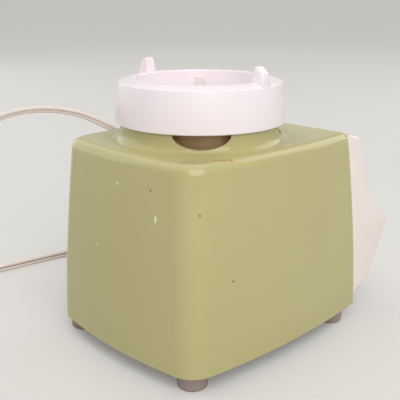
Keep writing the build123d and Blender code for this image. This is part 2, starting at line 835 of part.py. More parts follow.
# Brush gear: an insulating holder each side of the commutator, with its carbon brush
holder_height = brush_height + 2 * brush_slide + 2 * holder_wall
with BuildPart() as brush_holders:
    with BuildSketch(drive_floor.offset(brush_bottom)):
        with GridLocations(2 * holder_start + holder_length, 1, 2, 1):
            Rectangle(holder_length, brush_width + 2 * brush_slide + 2 * holder_wall)
    extrude(amount=holder_height)
    with BuildSketch(drive_floor.offset(brush_bottom + holder_wall)):
        with GridLocations(2 * holder_start + holder_length - 2 * holder_wall, 1, 2, 1):
            Rectangle(holder_length, brush_width + 2 * brush_slide)
    extrude(amount=brush_height + 2 * brush_slide, mode=Mode.SUBTRACT)
brush_holders.part.label = "brush_holders"
export_step(brush_holders.part, "parts/brush_holders.step")

with BuildPart() as carbon_brushes:
    with BuildSketch(drive_floor.offset(brush_middle - brush_height / 2)):
        with GridLocations(2 * (commutator_radius + brush_gap) + brush_length, 1, 2, 1):
            Rectangle(brush_length, brush_width)
    extrude(amount=brush_height)
carbon_brushes.part.label = "carbon_brushes"
export_step(carbon_brushes.part, "parts/carbon_brushes.step")

# Rotor: shaft, slotted core with its winding, commutator, fan, slinger and drive stud
slinger_bottom = floor_top + slinger_gap
stud_bottom = slinger_bottom + slinger_wall
with BuildPart() as shaft:
    disc(shaft_radius, fan_bottom, stud_bottom)
shaft.part.label = "motor_shaft"
export_step(shaft.part, "parts/motor_shaft.step")

bore = shaft_radius + fixed_gap
slot_middle = armature_radius - slot_depth / 2
with BuildPart() as core:
    with BuildSketch(drive_floor.offset(field_bottom)):
        Circle(armature_radius)
        with PolarLocations(slot_middle, slot_count):
            Rectangle(slot_depth, slot_width, mode=Mode.SUBTRACT)
        Circle(bore, mode=Mode.SUBTRACT)
    extrude(amount=field_height)
core.part.label = "armature_core"
export_step(core.part, "parts/armature_core.step")

with BuildPart() as winding:
    for bottom in (field_bottom - end_turn, field_top):
        disc(armature_radius - end_turn_inset, bottom, bottom + end_turn)
    fillet(winding.edges().filter_by(GeomType.CIRCLE), end_turn_round)
    with BuildSketch(drive_floor.offset(field_bottom - end_turn / 2)):
        with PolarLocations(slot_middle - slot_gap, slot_count):
            Rectangle(slot_depth - 2 * slot_gap, slot_width - 2 * slot_gap)
    extrude(amount=field_height + end_turn)
    disc(bore, field_bottom - end_turn, field_top + end_turn, mode=Mode.SUBTRACT)
winding.part.label = "armature_winding"
export_step(winding.part, "parts/armature_winding.step")

with BuildPart() as commutator:
    disc(commutator_radius, commutator_bottom, commutator_top)
    disc(bore, commutator_bottom, commutator_top, mode=Mode.SUBTRACT)
commutator.part.label = "commutator"
export_step(commutator.part, "parts/commutator.step")

with BuildPart() as thrust_washer:
    disc(washer_radius, bush_top + running_gap, commutator_bottom)
    disc(bore, bush_top + running_gap, commutator_bottom, mode=Mode.SUBTRACT)
thrust_washer.part.label = "thrust_washer"
export_step(thrust_washer.part, "parts/thrust_washer.step")

with BuildPart() as fan:
    disc(fan_radius, fan_bottom + fan_height - fan_disc, fan_bottom + fan_height)
    disc(fan_hub_radius, fan_bottom, fan_bottom + fan_height)
    # each blade is sunk into the hub and stops short of the disc's rim by its own thickness
    with BuildSketch(drive_floor.offset(fan_bottom)):
        with PolarLocations((fan_radius + fan_hub_radius) / 2 - fan_blade, fan_blades):
            Rectangle(fan_radius - fan_hub_radius, fan_blade)
    extrude(amount=fan_height)
    disc(bore, fan_bottom, fan_bottom + fan_height, mode=Mode.SUBTRACT)
fan.part.label = "cooling_fan"
export_step(fan.part, "parts/cooling_fan.step")

with BuildPart() as slinger:
    disc(slinger_radius, slinger_bottom, stud_bottom)
    disc(bore, slinger_bottom, stud_bottom, mode=Mode.SUBTRACT)
slinger.part.label = "slinger"
export_step(slinger.part, "parts/slinger.step")

with BuildPart() as stud:
    disc(stud_base_radius, stud_bottom, stud_bottom + stud_base)
    with BuildSketch(drive_floor.offset(stud_bottom + stud_base)):
        Rectangle(stud_width, stud_width, rotation=stud_turn)
    extrude(amount=rim_height + stud_above_rim - stud_bottom - stud_base)
    chamfer(stud.edges().group_by(Axis.Z)[-1], stud_chamfer)
stud.part.label = "drive_stud"
export_step(stud.part, "parts/drive_stud.step")


def tube(points, radius):
    """Sweep a round tube along straight runs joined by arcs as large as the runs allow."""
    corners = [Vector(*point) for point in points]
    runs = [after - before for before, after in zip(corners, corners[1:])]
    bends = [
        run_share * min(one.length, two.length) / math.tan(math.radians(one.get_angle(two) / 2))
        for one, two in zip(runs, runs[1:])
    ]
    with BuildLine() as route:
        FilletPolyline(*corners, radius=bends)
    path = route.wire()
    with BuildSketch(Plane(path @ 0, z_dir=path % 0)) as section:
        Circle(radius)
    sweep(section.sketch, path=path)
    return bends, path.length


# Leads inside the housing: from the switch to the field, and from the cord to the switch
switch_middle = (switch_top + switch_bottom) / 2
coil_end = field_top + coil_gap + coil_thickness / 2
with BuildPart() as motor_leads:
    for side in (-1, 1):
        start = ledge_plane.from_local_coords((side * lead_spread, switch_width / 2, switch_middle))
        leave = start + ledge_plane.y_dir * lead_straight
        end = Vector(side * coil_offset, drive_y - coil_half_width, coil_end)
        tube([start, leave, end - Vector(0, lead_straight, 0), end], lead_radius)
motor_leads.part.label = "motor_leads"
export_step(motor_leads.part, "parts/motor_leads.step")

relief_inside = relief_wall - wall - relief_flange
with BuildPart() as supply_lead:
    start = Vector(relief_inside, drive_y + relief_y, relief_height)
    supply_x = window_half_width - supply_margin
    end = ledge_plane.from_local_coords((supply_x, switch_width / 2, switch_middle))
    leave = end + ledge_plane.y_dir * lead_straight
    tube([start, start - Vector(relief_lead, 0, 0), leave, end], lead_radius)
supply_lead.part.label = "supply_lead"
export_step(supply_lead.part, "parts/supply_lead.step")

# Strain relief in the +X wall
relief_floor = Plane((0, drive_y + relief_y, relief_height))
with BuildPart() as relief:
    with BuildSketch(relief_floor):
        with BuildLine():
            Polyline(
                (relief_inside, 0),
                (relief_inside, relief_flange_radius - relief_flange),
                (relief_inside + relief_flange / 2, relief_neck_radius),
                (relief_seat, relief_neck_radius),
                (relief_seat, relief_flange_radius),
                (relief_seat + relief_flange, relief_flange_radius),
                (relief_seat + relief_flange, relief_neck_radius),
                (relief_end, relief_tip_radius),
                (relief_end, 0),
                close=True,
            )
        make_face()
    revolve(axis=Axis(relief_floor.origin, (1, 0, 0)))
relief.part.label = "strain_relief"
export_step(relief.part, "parts/strain_relief.step")

# Free stretch of the cord, in the drive frame: an arch in the air, then the floor
cord_low = cord_radius + cord_floor_gap
cord_points = [
    (relief_end, relief_y, relief_height),
    (relief_end + cord_lead, relief_y, relief_height),
    (126, -15.8, 134),
    (147, 1, 145),
    (172, 25, 149),
    (195, 51, 142),
    (208, 78, 124),
    (214, 97, 97),
    (216, 104, 66),
    (214, 98, 36),
    (207, 84, 13),
    (198.8, 66, 3.6),
    (199.3, 38, cord_low),
    (197.8, 10, cord_low),
    (194, -16, cord_low),
    (187.5, -40, cord_low),
    (coil_centre[0] + cord_coil_radius, -56, cord_low),
    (coil_centre[0] + cord_coil_radius, coil_centre[1] + coil_lead, cord_low),
]
with BuildPart() as cord:
    bends, length = tube([(x, drive_y + y, z) for x, y, z in cord_points], cord_radius)
print("cord radii", [round(bend, 1) for bend in bends])
print("cord length", round(length, 1), "volume error", round(cord.part.volume / length - math.pi * cord_radius**2, 4))
cord.part.label = "power_cord"
export_step(cord.part, "parts/power_cord.step")

# Coil of the rest of the cord: two layers of half turns, in, up and out again
coil_place = Vector(coil_centre[0], drive_y + coil_centre[1], cord_low)
half_turns = 2 * coil_turns
coil_radii = [cord_coil_radius - coil_pitch / 2 * step for step in range(half_turns + 1)]
coil_steps = [(radius, 0) for radius in coil_radii] + [(radius, coil_rise) for radius in reversed(coil_radii)]
turn_ends = [
    coil_place + Vector(radius if step % 2 == 0 else -radius, 0, rise)
    for step, (radius, rise) in enumerate(coil_steps)
]
with BuildLine() as coil_route:
    Line(turn_ends[0] + Vector(0, coil_lead, 0), turn_ends[0])
    for step, (before, after) in enumerate(zip(turn_ends, turn_ends[1:])):
        heading = Vector(0, -1, 0) if step % 2 == 0 else Vector(0, 1, 0)
        across = after - before
        middle = (before + after) * 0.5 + heading * (across.length / 2)
        TangentArc(before, middle, tangent=heading)
        TangentArc(middle, after, tangent=across)
    Line(turn_ends[-1], turn_ends[-1] + Vector(0, coil_tail, 0))
coil_path = coil_route.wire()
with BuildPart() as cord_coil:
    with BuildSketch(Plane(coil_path @ 0, z_dir=coil_path % 0)):
        Circle(cord_radius)
    sweep(path=coil_path)
cord_coil.part.label = "cord_coil"
export_step(cord_coil.part, "parts/cord_coil.step")

samples = [coil_path @ (step / coil_samples) for step in range(coil_samples + 1)]
sample_step = coil_path.length / coil_samples
apart = math.ceil(math.pi * cord_radius * 2 / sample_step)
least = min(
    (samples[one] - samples[two]).length
    for one in range(coil_samples)
    for two in range(one + apart, coil_samples + 1)
)
print("coil length", round(coil_path.length, 1), "least gap", round(least - 2 * cord_radius, 2))

# Plug that lies beside the coil
plug_back = turn_ends[-1] + Vector(0, coil_tail, 0)
plug_plane = Plane(plug_back, x_dir=(1, 0, 0), z_dir=(0, 1, 0))
with BuildPart() as plug:
    with BuildSketch(plug_plane):
        RectangleRounded(plug_width - plug_round, plug_height - plug_round, plug_round)
    with BuildSketch(plug_plane.offset(plug_length)):
        RectangleRounded(plug_width, plug_height, plug_round)
    loft()
    with BuildSketch(plug_plane.offset(plug_length)):
        with GridLocations(blade_spacing, 1, 2, 1):
            Rectangle(blade_thickness, blade_width)
    extrude(amount=-blade_root, mode=Mode.SUBTRACT)
plug.part.label = "plug_body"
export_step(plug.part, "parts/plug_body.step")

with BuildPart() as blades:
    with BuildSketch(plug_plane.offset(plug_length - blade_root)):
        with GridLocations(blade_spacing, 1, 2, 1):
            Rectangle(blade_thickness, blade_width)
    extrude(amount=blade_root + blade_length)
blades.part.label = "plug_blades"
export_step(blades.part, "parts/plug_blades.step")
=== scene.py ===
import json
import math

import bmesh
import bpy
from mathutils import Matrix, Vector


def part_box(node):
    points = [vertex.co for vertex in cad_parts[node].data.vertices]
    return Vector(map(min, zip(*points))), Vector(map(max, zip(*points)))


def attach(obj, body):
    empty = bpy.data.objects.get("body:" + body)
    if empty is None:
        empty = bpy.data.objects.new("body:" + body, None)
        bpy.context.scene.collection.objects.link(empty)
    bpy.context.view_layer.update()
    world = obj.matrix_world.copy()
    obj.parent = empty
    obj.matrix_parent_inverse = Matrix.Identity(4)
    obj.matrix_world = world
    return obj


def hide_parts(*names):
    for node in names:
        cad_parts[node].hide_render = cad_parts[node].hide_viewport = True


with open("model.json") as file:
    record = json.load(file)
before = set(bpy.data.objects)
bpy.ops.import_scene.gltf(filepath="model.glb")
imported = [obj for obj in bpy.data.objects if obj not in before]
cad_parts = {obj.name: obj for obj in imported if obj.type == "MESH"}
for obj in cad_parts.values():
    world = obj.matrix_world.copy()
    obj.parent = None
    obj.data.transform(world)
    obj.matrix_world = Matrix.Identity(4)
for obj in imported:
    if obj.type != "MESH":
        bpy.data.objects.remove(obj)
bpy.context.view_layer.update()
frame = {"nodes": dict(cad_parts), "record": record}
scene = bpy.context.scene
nodes = frame["nodes"]
mm = 0.001
weld = mm / 1000  # points closer than this become one
fullTurn = 2 * math.pi
driveY = 27.871774  # the motor's axis stands this far behind the origin, in mm
print("frame loaded:", len(nodes), "nodes")


def spot(x, y, z):
    # mm from the motor's axis to metres in the scene
    return Vector((x * mm, (y + driveY) * mm, z * mm))


def tint(red, green, blue):
    # a screen colour, 0 to 255, as the linear colour that shaders take
    shares = [value / 255 for value in (red, green, blue)]
    return [s / 12.92 if s <= 0.04045 else ((s + 0.055) / 1.055) ** 2.4 for s in shares] + [1.0]


def setSocket(tree, socket, value):
    if isinstance(value, bpy.types.NodeSocket):
        tree.links.new(value, socket)
    else:
        socket.default_value = value


def addNode(tree, kind, inputs=None, **settings):
    node = tree.nodes.new(kind)
    for key, value in settings.items():
        setattr(node, key, value)
    for socket, value in (inputs or {}).items():
        setSocket(tree, node.inputs[socket], value)
    return node


def maths(tree, operation, first, second):
    return addNode(tree, "ShaderNodeMath", {0: first, 1: second}, operation=operation).outputs[0]


def vectorMaths(tree, operation, *vectors):
    inputs = dict(enumerate(vectors))
    return addNode(tree, "ShaderNodeVectorMath", inputs, operation=operation).outputs


def rescale(tree, value, low, high, toLow=0.0, toHigh=1.0):
    inputs = {0: value, 1: low, 2: high, 3: toLow, 4: toHigh}
    return addNode(tree, "ShaderNodeMapRange", inputs).outputs[0]


def mixColour(tree, share, under, over):
    # by number, because the node has sockets of the same name for other kinds of data
    inputs = {0: share, 6: under, 7: over}
    return addNode(tree, "ShaderNodeMix", inputs, data_type="RGBA").outputs[2]


def noise(tree, place, scale, detail, distortion=0.0):
    inputs = {"Vector": place, "Scale": scale, "Detail": detail, "Distortion": distortion}
    return addNode(tree, "ShaderNodeTexNoise", inputs).outputs[0]


def ownPlace(tree):
    return addNode(tree, "ShaderNodeTexCoord").outputs["Object"]


def ownNormal(tree):
    return addNode(tree, "ShaderNodeNewGeometry").outputs["Normal"]


def startGroup(name, inputs, outputs):
    group = bpy.data.node_groups.new(name, "ShaderNodeTree")
    for direction, sockets in (("INPUT", inputs), ("OUTPUT", outputs)):
        for label, kind in sockets.items():
            group.interface.new_socket(label, in_out=direction, socket_type="NodeSocket" + kind)
    given = addNode(group, "NodeGroupInput").outputs
    return group, given, addNode(group, "NodeGroupOutput").inputs


def useGroup(tree, group, **inputs):
    return addNode(tree, "ShaderNodeGroup", inputs, node_tree=group).outputs


# Slow colour change, smeared gloss and fine grain of an old surface
skinForm = {
    "patchDetail": 4.0, "patchFrom": 0.32, "patchTo": 0.68, "grainDetail": 2.0,
    "smearsPerPatch": 4.7, "smearDetail": 5.0, "smearTwist": 1.4, "smearFrom": 0.3, "smearTo": 0.7,
}


def makeAgedSkin(form):
    group, given, result = startGroup(
        "agedSkin",
        {"Colour": "Color", "Faded": "Color", "Spread": "Float", "Patch": "Float",
         "Gloss": "Float", "Smear": "Float", "Grain": "Float"},
        {"Colour": "Color", "Roughness": "Float", "Height": "Float"},
    )
    where = ownPlace(group)
    patches = noise(group, where, given["Patch"], form["patchDetail"])
    share = rescale(group, patches, form["patchFrom"], form["patchTo"])
    share = maths(group, "MULTIPLY", share, given["Spread"])
    colour = mixColour(group, share, given["Colour"], given["Faded"])
    smearScale = maths(group, "MULTIPLY", given["Patch"], form["smearsPerPatch"])
    smears = noise(group, where, smearScale, form["smearDetail"], form["smearTwist"])
    swing = rescale(group, smears, form["smearFrom"], form["smearTo"], -1.0, 1.0)
    swing = maths(group, "MULTIPLY", swing, given["Smear"])
    setSocket(group, result["Colour"], colour)
    setSocket(group, result["Roughness"], maths(group, "ADD", given["Gloss"], swing))
    setSocket(group, result["Height"], noise(group, where, given["Grain"], form["grainDetail"]))
    return group


# Wear on edges: where the rounded normal leaves the true one, broken up by noise
rubForm = {
    "samples": 4, "flat": 0.995, "sharp": 0.86,
    "breakDetail": 6.0, "breakFrom": 0.42, "breakTo": 0.62,
}


def makeEdgeRub(form):
    group, given, result = startGroup(
        "edgeRub", {"Width": "Float", "Amount": "Float", "Breakup": "Float"}, {"Mask": "Float"}
    )
    rounded = addNode(group, "ShaderNodeBevel", {"Radius": given["Width"]}, samples=form["samples"])
    agree = vectorMaths(group, "DOT_PRODUCT", rounded.outputs[0], ownNormal(group))["Value"]
    edge = rescale(group, agree, form["flat"], form["sharp"])
    breaks = noise(group, ownPlace(group), given["Breakup"], form["breakDetail"])
    breaks = rescale(group, breaks, form["breakFrom"], form["breakTo"])
    worn = maths(group, "MULTIPLY", edge, breaks)
    setSocket(group, result["Mask"], maths(group, "MULTIPLY", worn, given["Amount"]))
    return group


# One small mark at a place on the object: a speck, a chip or a stain with a ragged edge
markForm = {
    "raggedScale": 1400.0, "raggedDetail": 2.0, "raggedFrom": 0.3, "raggedTo": 0.7,
    "shortest": 0.75, "longest": 1.3, "outer": 1.0, "inner": 0.55,
}


def makeSmallMark(form):
    group, given, result = startGroup(
        "smallMark", {"Place": "Vector", "Stretch": "Vector", "Radius": "Float"}, {"Mask": "Float"}
    )
    where = ownPlace(group)
    ragged = noise(group, where, form["raggedScale"], form["raggedDetail"])
    ragged = rescale(
        group, ragged, form["raggedFrom"], form["raggedTo"], form["shortest"], form["longest"]
    )
    offset = vectorMaths(group, "SUBTRACT", where, given["Place"])[0]
    stretched = vectorMaths(group, "MULTIPLY", offset, given["Stretch"])[0]
    away = vectorMaths(group, "LENGTH", stretched)["Value"]
    near = maths(group, "DIVIDE", maths(group, "MULTIPLY", away, ragged), given["Radius"])
    setSocket(group, result["Mask"], rescale(group, near, form["outer"], form["inner"]))
    return group


# Dust that settles on what faces up
dustForm = {
    "slopeFrom": 0.55, "slopeTo": 0.95, "speckDetail": 8.0, "speckFrom": 0.4, "speckTo": 0.75,
    "colour": tint(214, 208, 198), "dull": 0.5,
}


def makeSettledDust(form):
    group, given, result = startGroup(
        "settledDust", {"Amount": "Float", "Size": "Float"}, {"Mask": "Float"}
    )
    upward = addNode(group, "ShaderNodeSeparateXYZ", {0: ownNormal(group)}).outputs["Z"]
    upward = rescale(group, upward, form["slopeFrom"], form["slopeTo"])
    specks = noise(group, ownPlace(group), given["Size"], form["speckDetail"])
    specks = rescale(group, specks, form["speckFrom"], form["speckTo"])
    thin = maths(group, "MULTIPLY", upward, specks)
    setSocket(group, result["Mask"], maths(group, "MULTIPLY", thin, given["Amount"]))
    return group


agedSkin = makeAgedSkin(skinForm)
edgeRub = makeEdgeRub(rubForm)
smallMark = makeSmallMark(markForm)
settledDust = makeSettledDust(dustForm)

# What all finishes of one kind share: strength of the bump, detail of tool marks and bands
finishForm = {
    "mouldedBump": 0.6, "metalBump": 0.5, "layeredBump": 0.8, "toolDetail": 3.0, "bandDetail": 1.0,
    "gapTo": 0.35,
}


def startFinish(name):
    material = bpy.data.materials.new(name)
    material.use_nodes = True
    tree = material.node_tree
    return material, tree, tree.nodes["Principled BSDF"].inputs


def agedSurface(tree, look):
    return useGroup(
        tree, agedSkin, Colour=look["colour"], Faded=look["faded"], Spread=look["spread"],
        Patch=look["patch"], Gloss=look["gloss"], Smear=look["smear"], Grain=look["grain"],
    )


def fillShader(tree, shader, colour, roughness, height, strength, depth, metal=0.0):
    inputs = {"Height": height, "Strength": strength, "Distance": depth * mm}
    normal = addNode(tree, "ShaderNodeBump", inputs).outputs[0]
    setSocket(tree, shader["Base Color"], colour)
    setSocket(tree, shader["Roughness"], roughness)
    setSocket(tree, shader["Normal"], normal)
    setSocket(tree, shader["Metallic"], metal)


def mouldedFinish(name, look):
    # plastic, rubber and the like; a look may add rubbed edges, marks, a groove darkened with dirt
    # and painted shade, and dust
    material, tree, shader = startFinish(name)
    skin = agedSurface(tree, look)
    colour, roughness = skin["Colour"], skin["Roughness"]
    if look.get("rub"):
        rub = useGroup(
            tree, edgeRub, Width=look["rubWidth"] * mm, Amount=look["rub"],
            Breakup=look["rubBreakup"],
        )["Mask"]
        colour = mixColour(tree, rub, colour, look["rubColour"])
    for x, y, z, radius, stretch, strength, shade in look.get("marks", []):
        mark = useGroup(
            tree, smallMark, Place=spot(x, y, z), Stretch=stretch, Radius=radius * mm
        )["Mask"]
        colour = mixColour(tree, maths(tree, "MULTIPLY", mark, strength), colour, shade)
    # the groove between the cores is darkened: partly dirt, partly painted shade in the crease
    if look.get("groove"):
        deep = addNode(tree, "ShaderNodeAttribute", attribute_name="groove").outputs["Fac"]
        grooveDirtAndShade = rescale(tree, deep, look["grooveFrom"], look["grooveTo"])
        colour = mixColour(tree, grooveDirtAndShade, colour, look["groove"])
    if look.get("dust"):
        dust = useGroup(tree, settledDust, Amount=look["dust"], Size=look["dustSize"])["Mask"]
        colour = mixColour(tree, dust, colour, dustForm["colour"])
        roughness = maths(tree, "ADD", roughness, maths(tree, "MULTIPLY", dust, dustForm["dull"]))
    fillShader(
        tree, shader, colour, roughness, skin["Height"], finishForm["mouldedBump"], look["depth"]
    )
    return material


def metalFinish(name, look):
    # bare metal; look["drawn"] stretches its tool marks along X, Y and Z
    material, tree, shader = startFinish(name)
    inputs = {"Vector": ownPlace(tree), "Scale": look["drawn"]}
    along = addNode(tree, "ShaderNodeMapping", inputs).outputs[0]
    lines = noise(tree, along, look["grain"], finishForm["toolDetail"])
    skin = agedSurface(tree, look)
    fillShader(
        tree, shader, skin["Colour"], skin["Roughness"], lines, finishForm["metalBump"],
        look["depth"], 1.0,
    )
    return material


def layeredFinish(name, look):
    # stacked sheets or wound wire: bands along one axis of the object
    material, tree, shader = startFinish(name)
    inputs = {
        "Vector": ownPlace(tree), "Scale": look["bands"], "Distortion": look["sway"],
        "Detail": finishForm["bandDetail"],
    }
    bands = addNode(
        tree, "ShaderNodeTexWave", inputs, wave_type="BANDS", bands_direction=look["axis"]
    ).outputs[1]
    skin = agedSurface(tree, look)
    solid = rescale(tree, bands, 0.0, finishForm["gapTo"])
    colour = mixColour(tree, solid, look["between"], skin["Colour"])
    fillShader(
        tree, shader, colour, skin["Roughness"], bands, finishForm["layeredBump"], look["depth"],
        look["metal"],
    )
    return material


# Looks, with widths and depths in mm; each mark is x, y, z, radius, stretch, strength and colour
even = (1.0, 1.0, 1.0)
upright = (1.0, 1.0, 0.5)
shellLook = {
    "colour": tint(183, 176, 124), "faded": tint(179, 169, 115), "spread": 0.6, "patch": 7.0,
    "gloss": 0.13, "smear": 0.03, "grain": 420.0, "depth": 0.006,
    "rub": 0.3, "rubWidth": 1.2, "rubBreakup": 90.0, "rubColour": tint(203, 196, 150),
    "dust": 0.05, "dustSize": 520.0,
    "marks": [
        (-34.0, 75.6, 128.6, 0.9, even, 0.9, tint(92, 74, 44)),
        (-67.0, 65.2, 117.5, 0.9, even, 0.85, tint(98, 82, 52)),
        (-74.9, 43.2, 70.8, 1.0, even, 0.85, tint(92, 78, 48)),
        (-39.4, 76.6, 111.3, 1.3, (1.0, 1.0, 0.45), 0.8, tint(236, 230, 206)),
        (-3.0, 77.4, 127.4, 1.1, (0.8, 1.0, 1.0), 0.75, tint(232, 226, 200)),
        (17.4, 80.7, 81.6, 0.9, (1.0, 1.0, 0.6), 0.7, tint(226, 219, 190)),
        (-60.2, 43.4, 147.0, 2.5, upright, 0.6, tint(186, 134, 80)),
        (-62.8, 40.4, 147.0, 3.0, upright, 0.6, tint(178, 122, 74)),
        (-65.2, 37.2, 146.8, 2.7, upright, 0.6, tint(192, 140, 92)),
        (-63.2, 39.2, 147.0, 1.2, upright, 0.6, tint(112, 66, 38)),
        (-64.9, 37.0, 146.9, 1.0, upright, 0.6, tint(112, 66, 38)),
    ],
}
whiteLook = {
    "colour": tint(234, 224, 218), "faded": tint(231, 219, 211), "spread": 0.6, "patch": 6.0,
    "gloss": 0.22, "smear": 0.03, "grain": 520.0, "depth": 0.005,
    "rub": 0.3, "rubWidth": 1.0, "rubBreakup": 120.0, "rubColour": tint(224, 211, 199),
}
collarLook = dict(whiteLook, colour=tint(240, 230, 234), faded=tint(238, 226, 228))
keyLook = dict(whiteLook, colour=tint(232, 221, 210), faded=tint(227, 214, 200), gloss=0.26)
plateLook = dict(
    whiteLook, colour=tint(70, 68, 64), faded=tint(84, 81, 76), gloss=0.55, grain=1200.0,
    depth=0.03, rubColour=tint(116, 112, 106),
)
footLook = dict(
    whiteLook, colour=tint(156, 140, 132), faded=tint(136, 120, 112), spread=0.8, patch=60.0,
    gloss=0.62, smear=0.1, grain=1500.0, depth=0.03, rub=0.6, rubColour=tint(182, 170, 163),
)
# the groove colour is dirt and painted shade for the crease between the cores
cordLook = dict(
    whiteLook, colour=tint(230, 217, 211), faded=tint(222, 207, 199), gloss=0.4, patch=26.0,
    rub=0.0, groove=tint(150, 122, 110), grooveFrom=0.05, grooveTo=0.4,
)
darkLook = dict(
    plateLook, colour=tint(44, 43, 42), faded=tint(58, 56, 54), rubColour=tint(92, 90, 87)
)
nylonLook = dict(
    whiteLook, colour=tint(246, 235, 230), faded=tint(241, 227, 220), patch=90.0, gloss=0.34,
    grain=900.0,
)
fibreLook = dict(
    whiteLook, colour=tint(184, 149, 110), faded=tint(158, 127, 86), spread=0.9, patch=55.0,
    gloss=0.35, smear=0.12, grain=1700.0, depth=0.05, rubColour=tint(160, 134, 98),
)
phenolicLook = dict(
    whiteLook, colour=tint(88, 62, 44), faded=tint(70, 48, 34), gloss=0.4, grain=1400.0,
    rubColour=tint(120, 90, 66),
)
steelLook = {
    "spread": 0.5, "patch": 70.0, "gloss": 0.32, "smear": 0.08, "grain": 900.0,
    "drawn": (1.0, 1.0, 9.0), "depth": 0.01,
}
zincLook = dict(steelLook, colour=tint(196, 194, 186), faded=tint(164, 154, 130))
shaftLook = dict(steelLook, colour=tint(222, 220, 216), faded=tint(198, 194, 186), gloss=0.26)
bronzeLook = dict(steelLook, colour=tint(196, 158, 98), faded=tint(150, 112, 62), gloss=0.4)
castLook = dict(
    steelLook, colour=tint(206, 207, 208), faded=tint(178, 178, 176), gloss=0.48, drawn=even,
    depth=0.05,
)
sheetLook = {
    "colour": tint(150, 152, 156), "faded": tint(112, 104, 94), "between": tint(52, 50, 48),
    "spread": 0.6, "patch": 60.0, "gloss": 0.4, "smear": 0.1, "grain": 900.0,
    "axis": "Z", "bands": 320.0, "sway": 0.0, "depth": 0.08, "metal": 1.0,
}
wireLook = {
    "colour": tint(190, 112, 66), "faded": tint(140, 74, 40), "between": tint(70, 36, 20),
    "spread": 0.7, "patch": 90.0, "gloss": 0.28, "smear": 0.08, "grain": 900.0,
    "axis": "DIAGONAL", "bands": 420.0, "sway": 0.6, "depth": 0.18, "metal": 0.8,
}
finishes = {
    "shell_green": mouldedFinish("shellGreen", shellLook),
    "white_plastic": mouldedFinish("panelWhite", whiteLook),
    "collar_white": mouldedFinish("collarWhite", collarLook),
    "key_plastic": mouldedFinish("keyIvory", keyLook),
    "plate_plastic": mouldedFinish("plateBlack", plateLook),
    "foot_rubber": mouldedFinish("footRubber", footLook),
    "mount_rubber": mouldedFinish("mountRubber", dict(darkLook, gloss=0.7, grain=1500.0)),
    "dark_plastic": mouldedFinish("fanBlack", darkLook),
    "lead_plastic": mouldedFinish("leadBlack", dict(darkLook, gloss=0.45)),
    "cord_plastic": mouldedFinish("cordIvory", cordLook),
    "drive_nylon": mouldedFinish("studNylon", nylonLook),
    "carbon": mouldedFinish("brushCarbon", dict(darkLook, gloss=0.5, grain=2600.0, depth=0.02)),
    "fibre": mouldedFinish("baffleFibre", fibreLook),
    "phenolic": mouldedFinish("holderPhenolic", phenolicLook),
    "fastener_steel": metalFinish("screwZinc", zincLook),
    "shaft_steel": metalFinish("shaftSteel", shaftLook),
    "bracket_aluminium": metalFinish("castAluminium", castLook),
    "bronze": metalFinish("bushBronze", bronzeLook),
    "lamination": layeredFinish("steelSheets", sheetLook),
    "copper_wire": layeredFinish("enamelledWire", wireLook),
}
for part in frame["record"]["subparts"]:
    nodes[part["node"]].material_slots[0].material = finishes[part["material_slot"]]
print("finishes made:", len(finishes))

# Flat two-core cord: the free stretch, then the coil of the rest and its plug, in mm from the axis
cordForm = {
    "width": 6.6, "thick": 3.4, "web": 1.9, "sectionSteps": 36, "splineSteps": 6, "splineOrder": 3,
    "free": [
        (95.0, -19.5, 131), (109, -19.5, 131), (126, -15.8, 134), (147, 1, 146.6), (172, 25, 150.6),
        (195, 51, 144.4), (208, 78, 127), (213, 97, 98), (213.5, 105, 66), (212, 104.5, 40),
        (208, 98, 19), (203.6, 84, 6.5), (201.6, 66, 3.6), (199.6, 42, 3.4), (196.3, 16, 3.4),
        (191.9, -13, 3.4), (187.5, -40, 3.2), (185, -56, 2.6), (185, -72, 2.0),
    ],
    # the coil winds inwards on the floor, climbs for half a turn and winds outwards on top
    "coilCentre": (149.0, -78.0), "coilOuter": 36.0, "coilPitch": 7.0, "halfTurns": 9, "climbAt": 4,
    "perHalfTurn": 8, "low": 1.8, "rise": 3.7,
    # the swell brings the cord to its length, and the turns aren't quite round
    "swell": 1.0194, "uneven": 0.5, "unevenFrom": 0.8,
    "tail": [(113, -66, 6.2), (113, -54, 7.9), (113, -44, 8.15), (113, -38, 8.15)],
    # metres along the cord, and where its flat side faces there
    "lean": [
        (0.0, (0, -1, 0)), (0.035, (0.66, -0.69, 0.2)), (0.08, (0.6, -0.57, 0.5)),
        (0.135, (0.6, -0.52, 0.6)), (0.2, (0.7, -0.5, 0.4)), (0.27, (0.9, -0.4, 0.1)),
        (0.31, (1, -0.05, 0)), (0.395, (1, 0, 0)), (0.455, (0, 0, 1)), (2.0, (0, 0, 1)),
    ],
    # metres along the cord where its groove goes from pale to dark with dirt and painted shade, and
    # the least of that darkening in it
    "palestGrooveUntil": 0.22, "darkestGrooveFrom": 0.32, "leastDirtAndShade": 0.12,
}


def coilPoints(form):
    centreX, centreY = form["coilCentre"]
    climb = form["climbAt"]
    points = []
    for step in range(1, form["halfTurns"] * form["perHalfTurn"] + 1):
        turned = step / form["perHalfTurn"]
        inward = min(turned, climb) - max(0.0, turned - climb - 1)
        radius = (form["coilOuter"] - inward * form["coilPitch"] / 2) * form["swell"]
        radius += form["uneven"] * math.sin(fullTurn * turned + form["unevenFrom"])
        height = form["low"] + form["rise"] * min(1.0, max(0.0, turned - climb))
        angle = -math.pi * turned
        across, along = radius * math.cos(angle), radius * math.sin(angle)
        points.append((centreX + across, centreY + along, height))
    return points


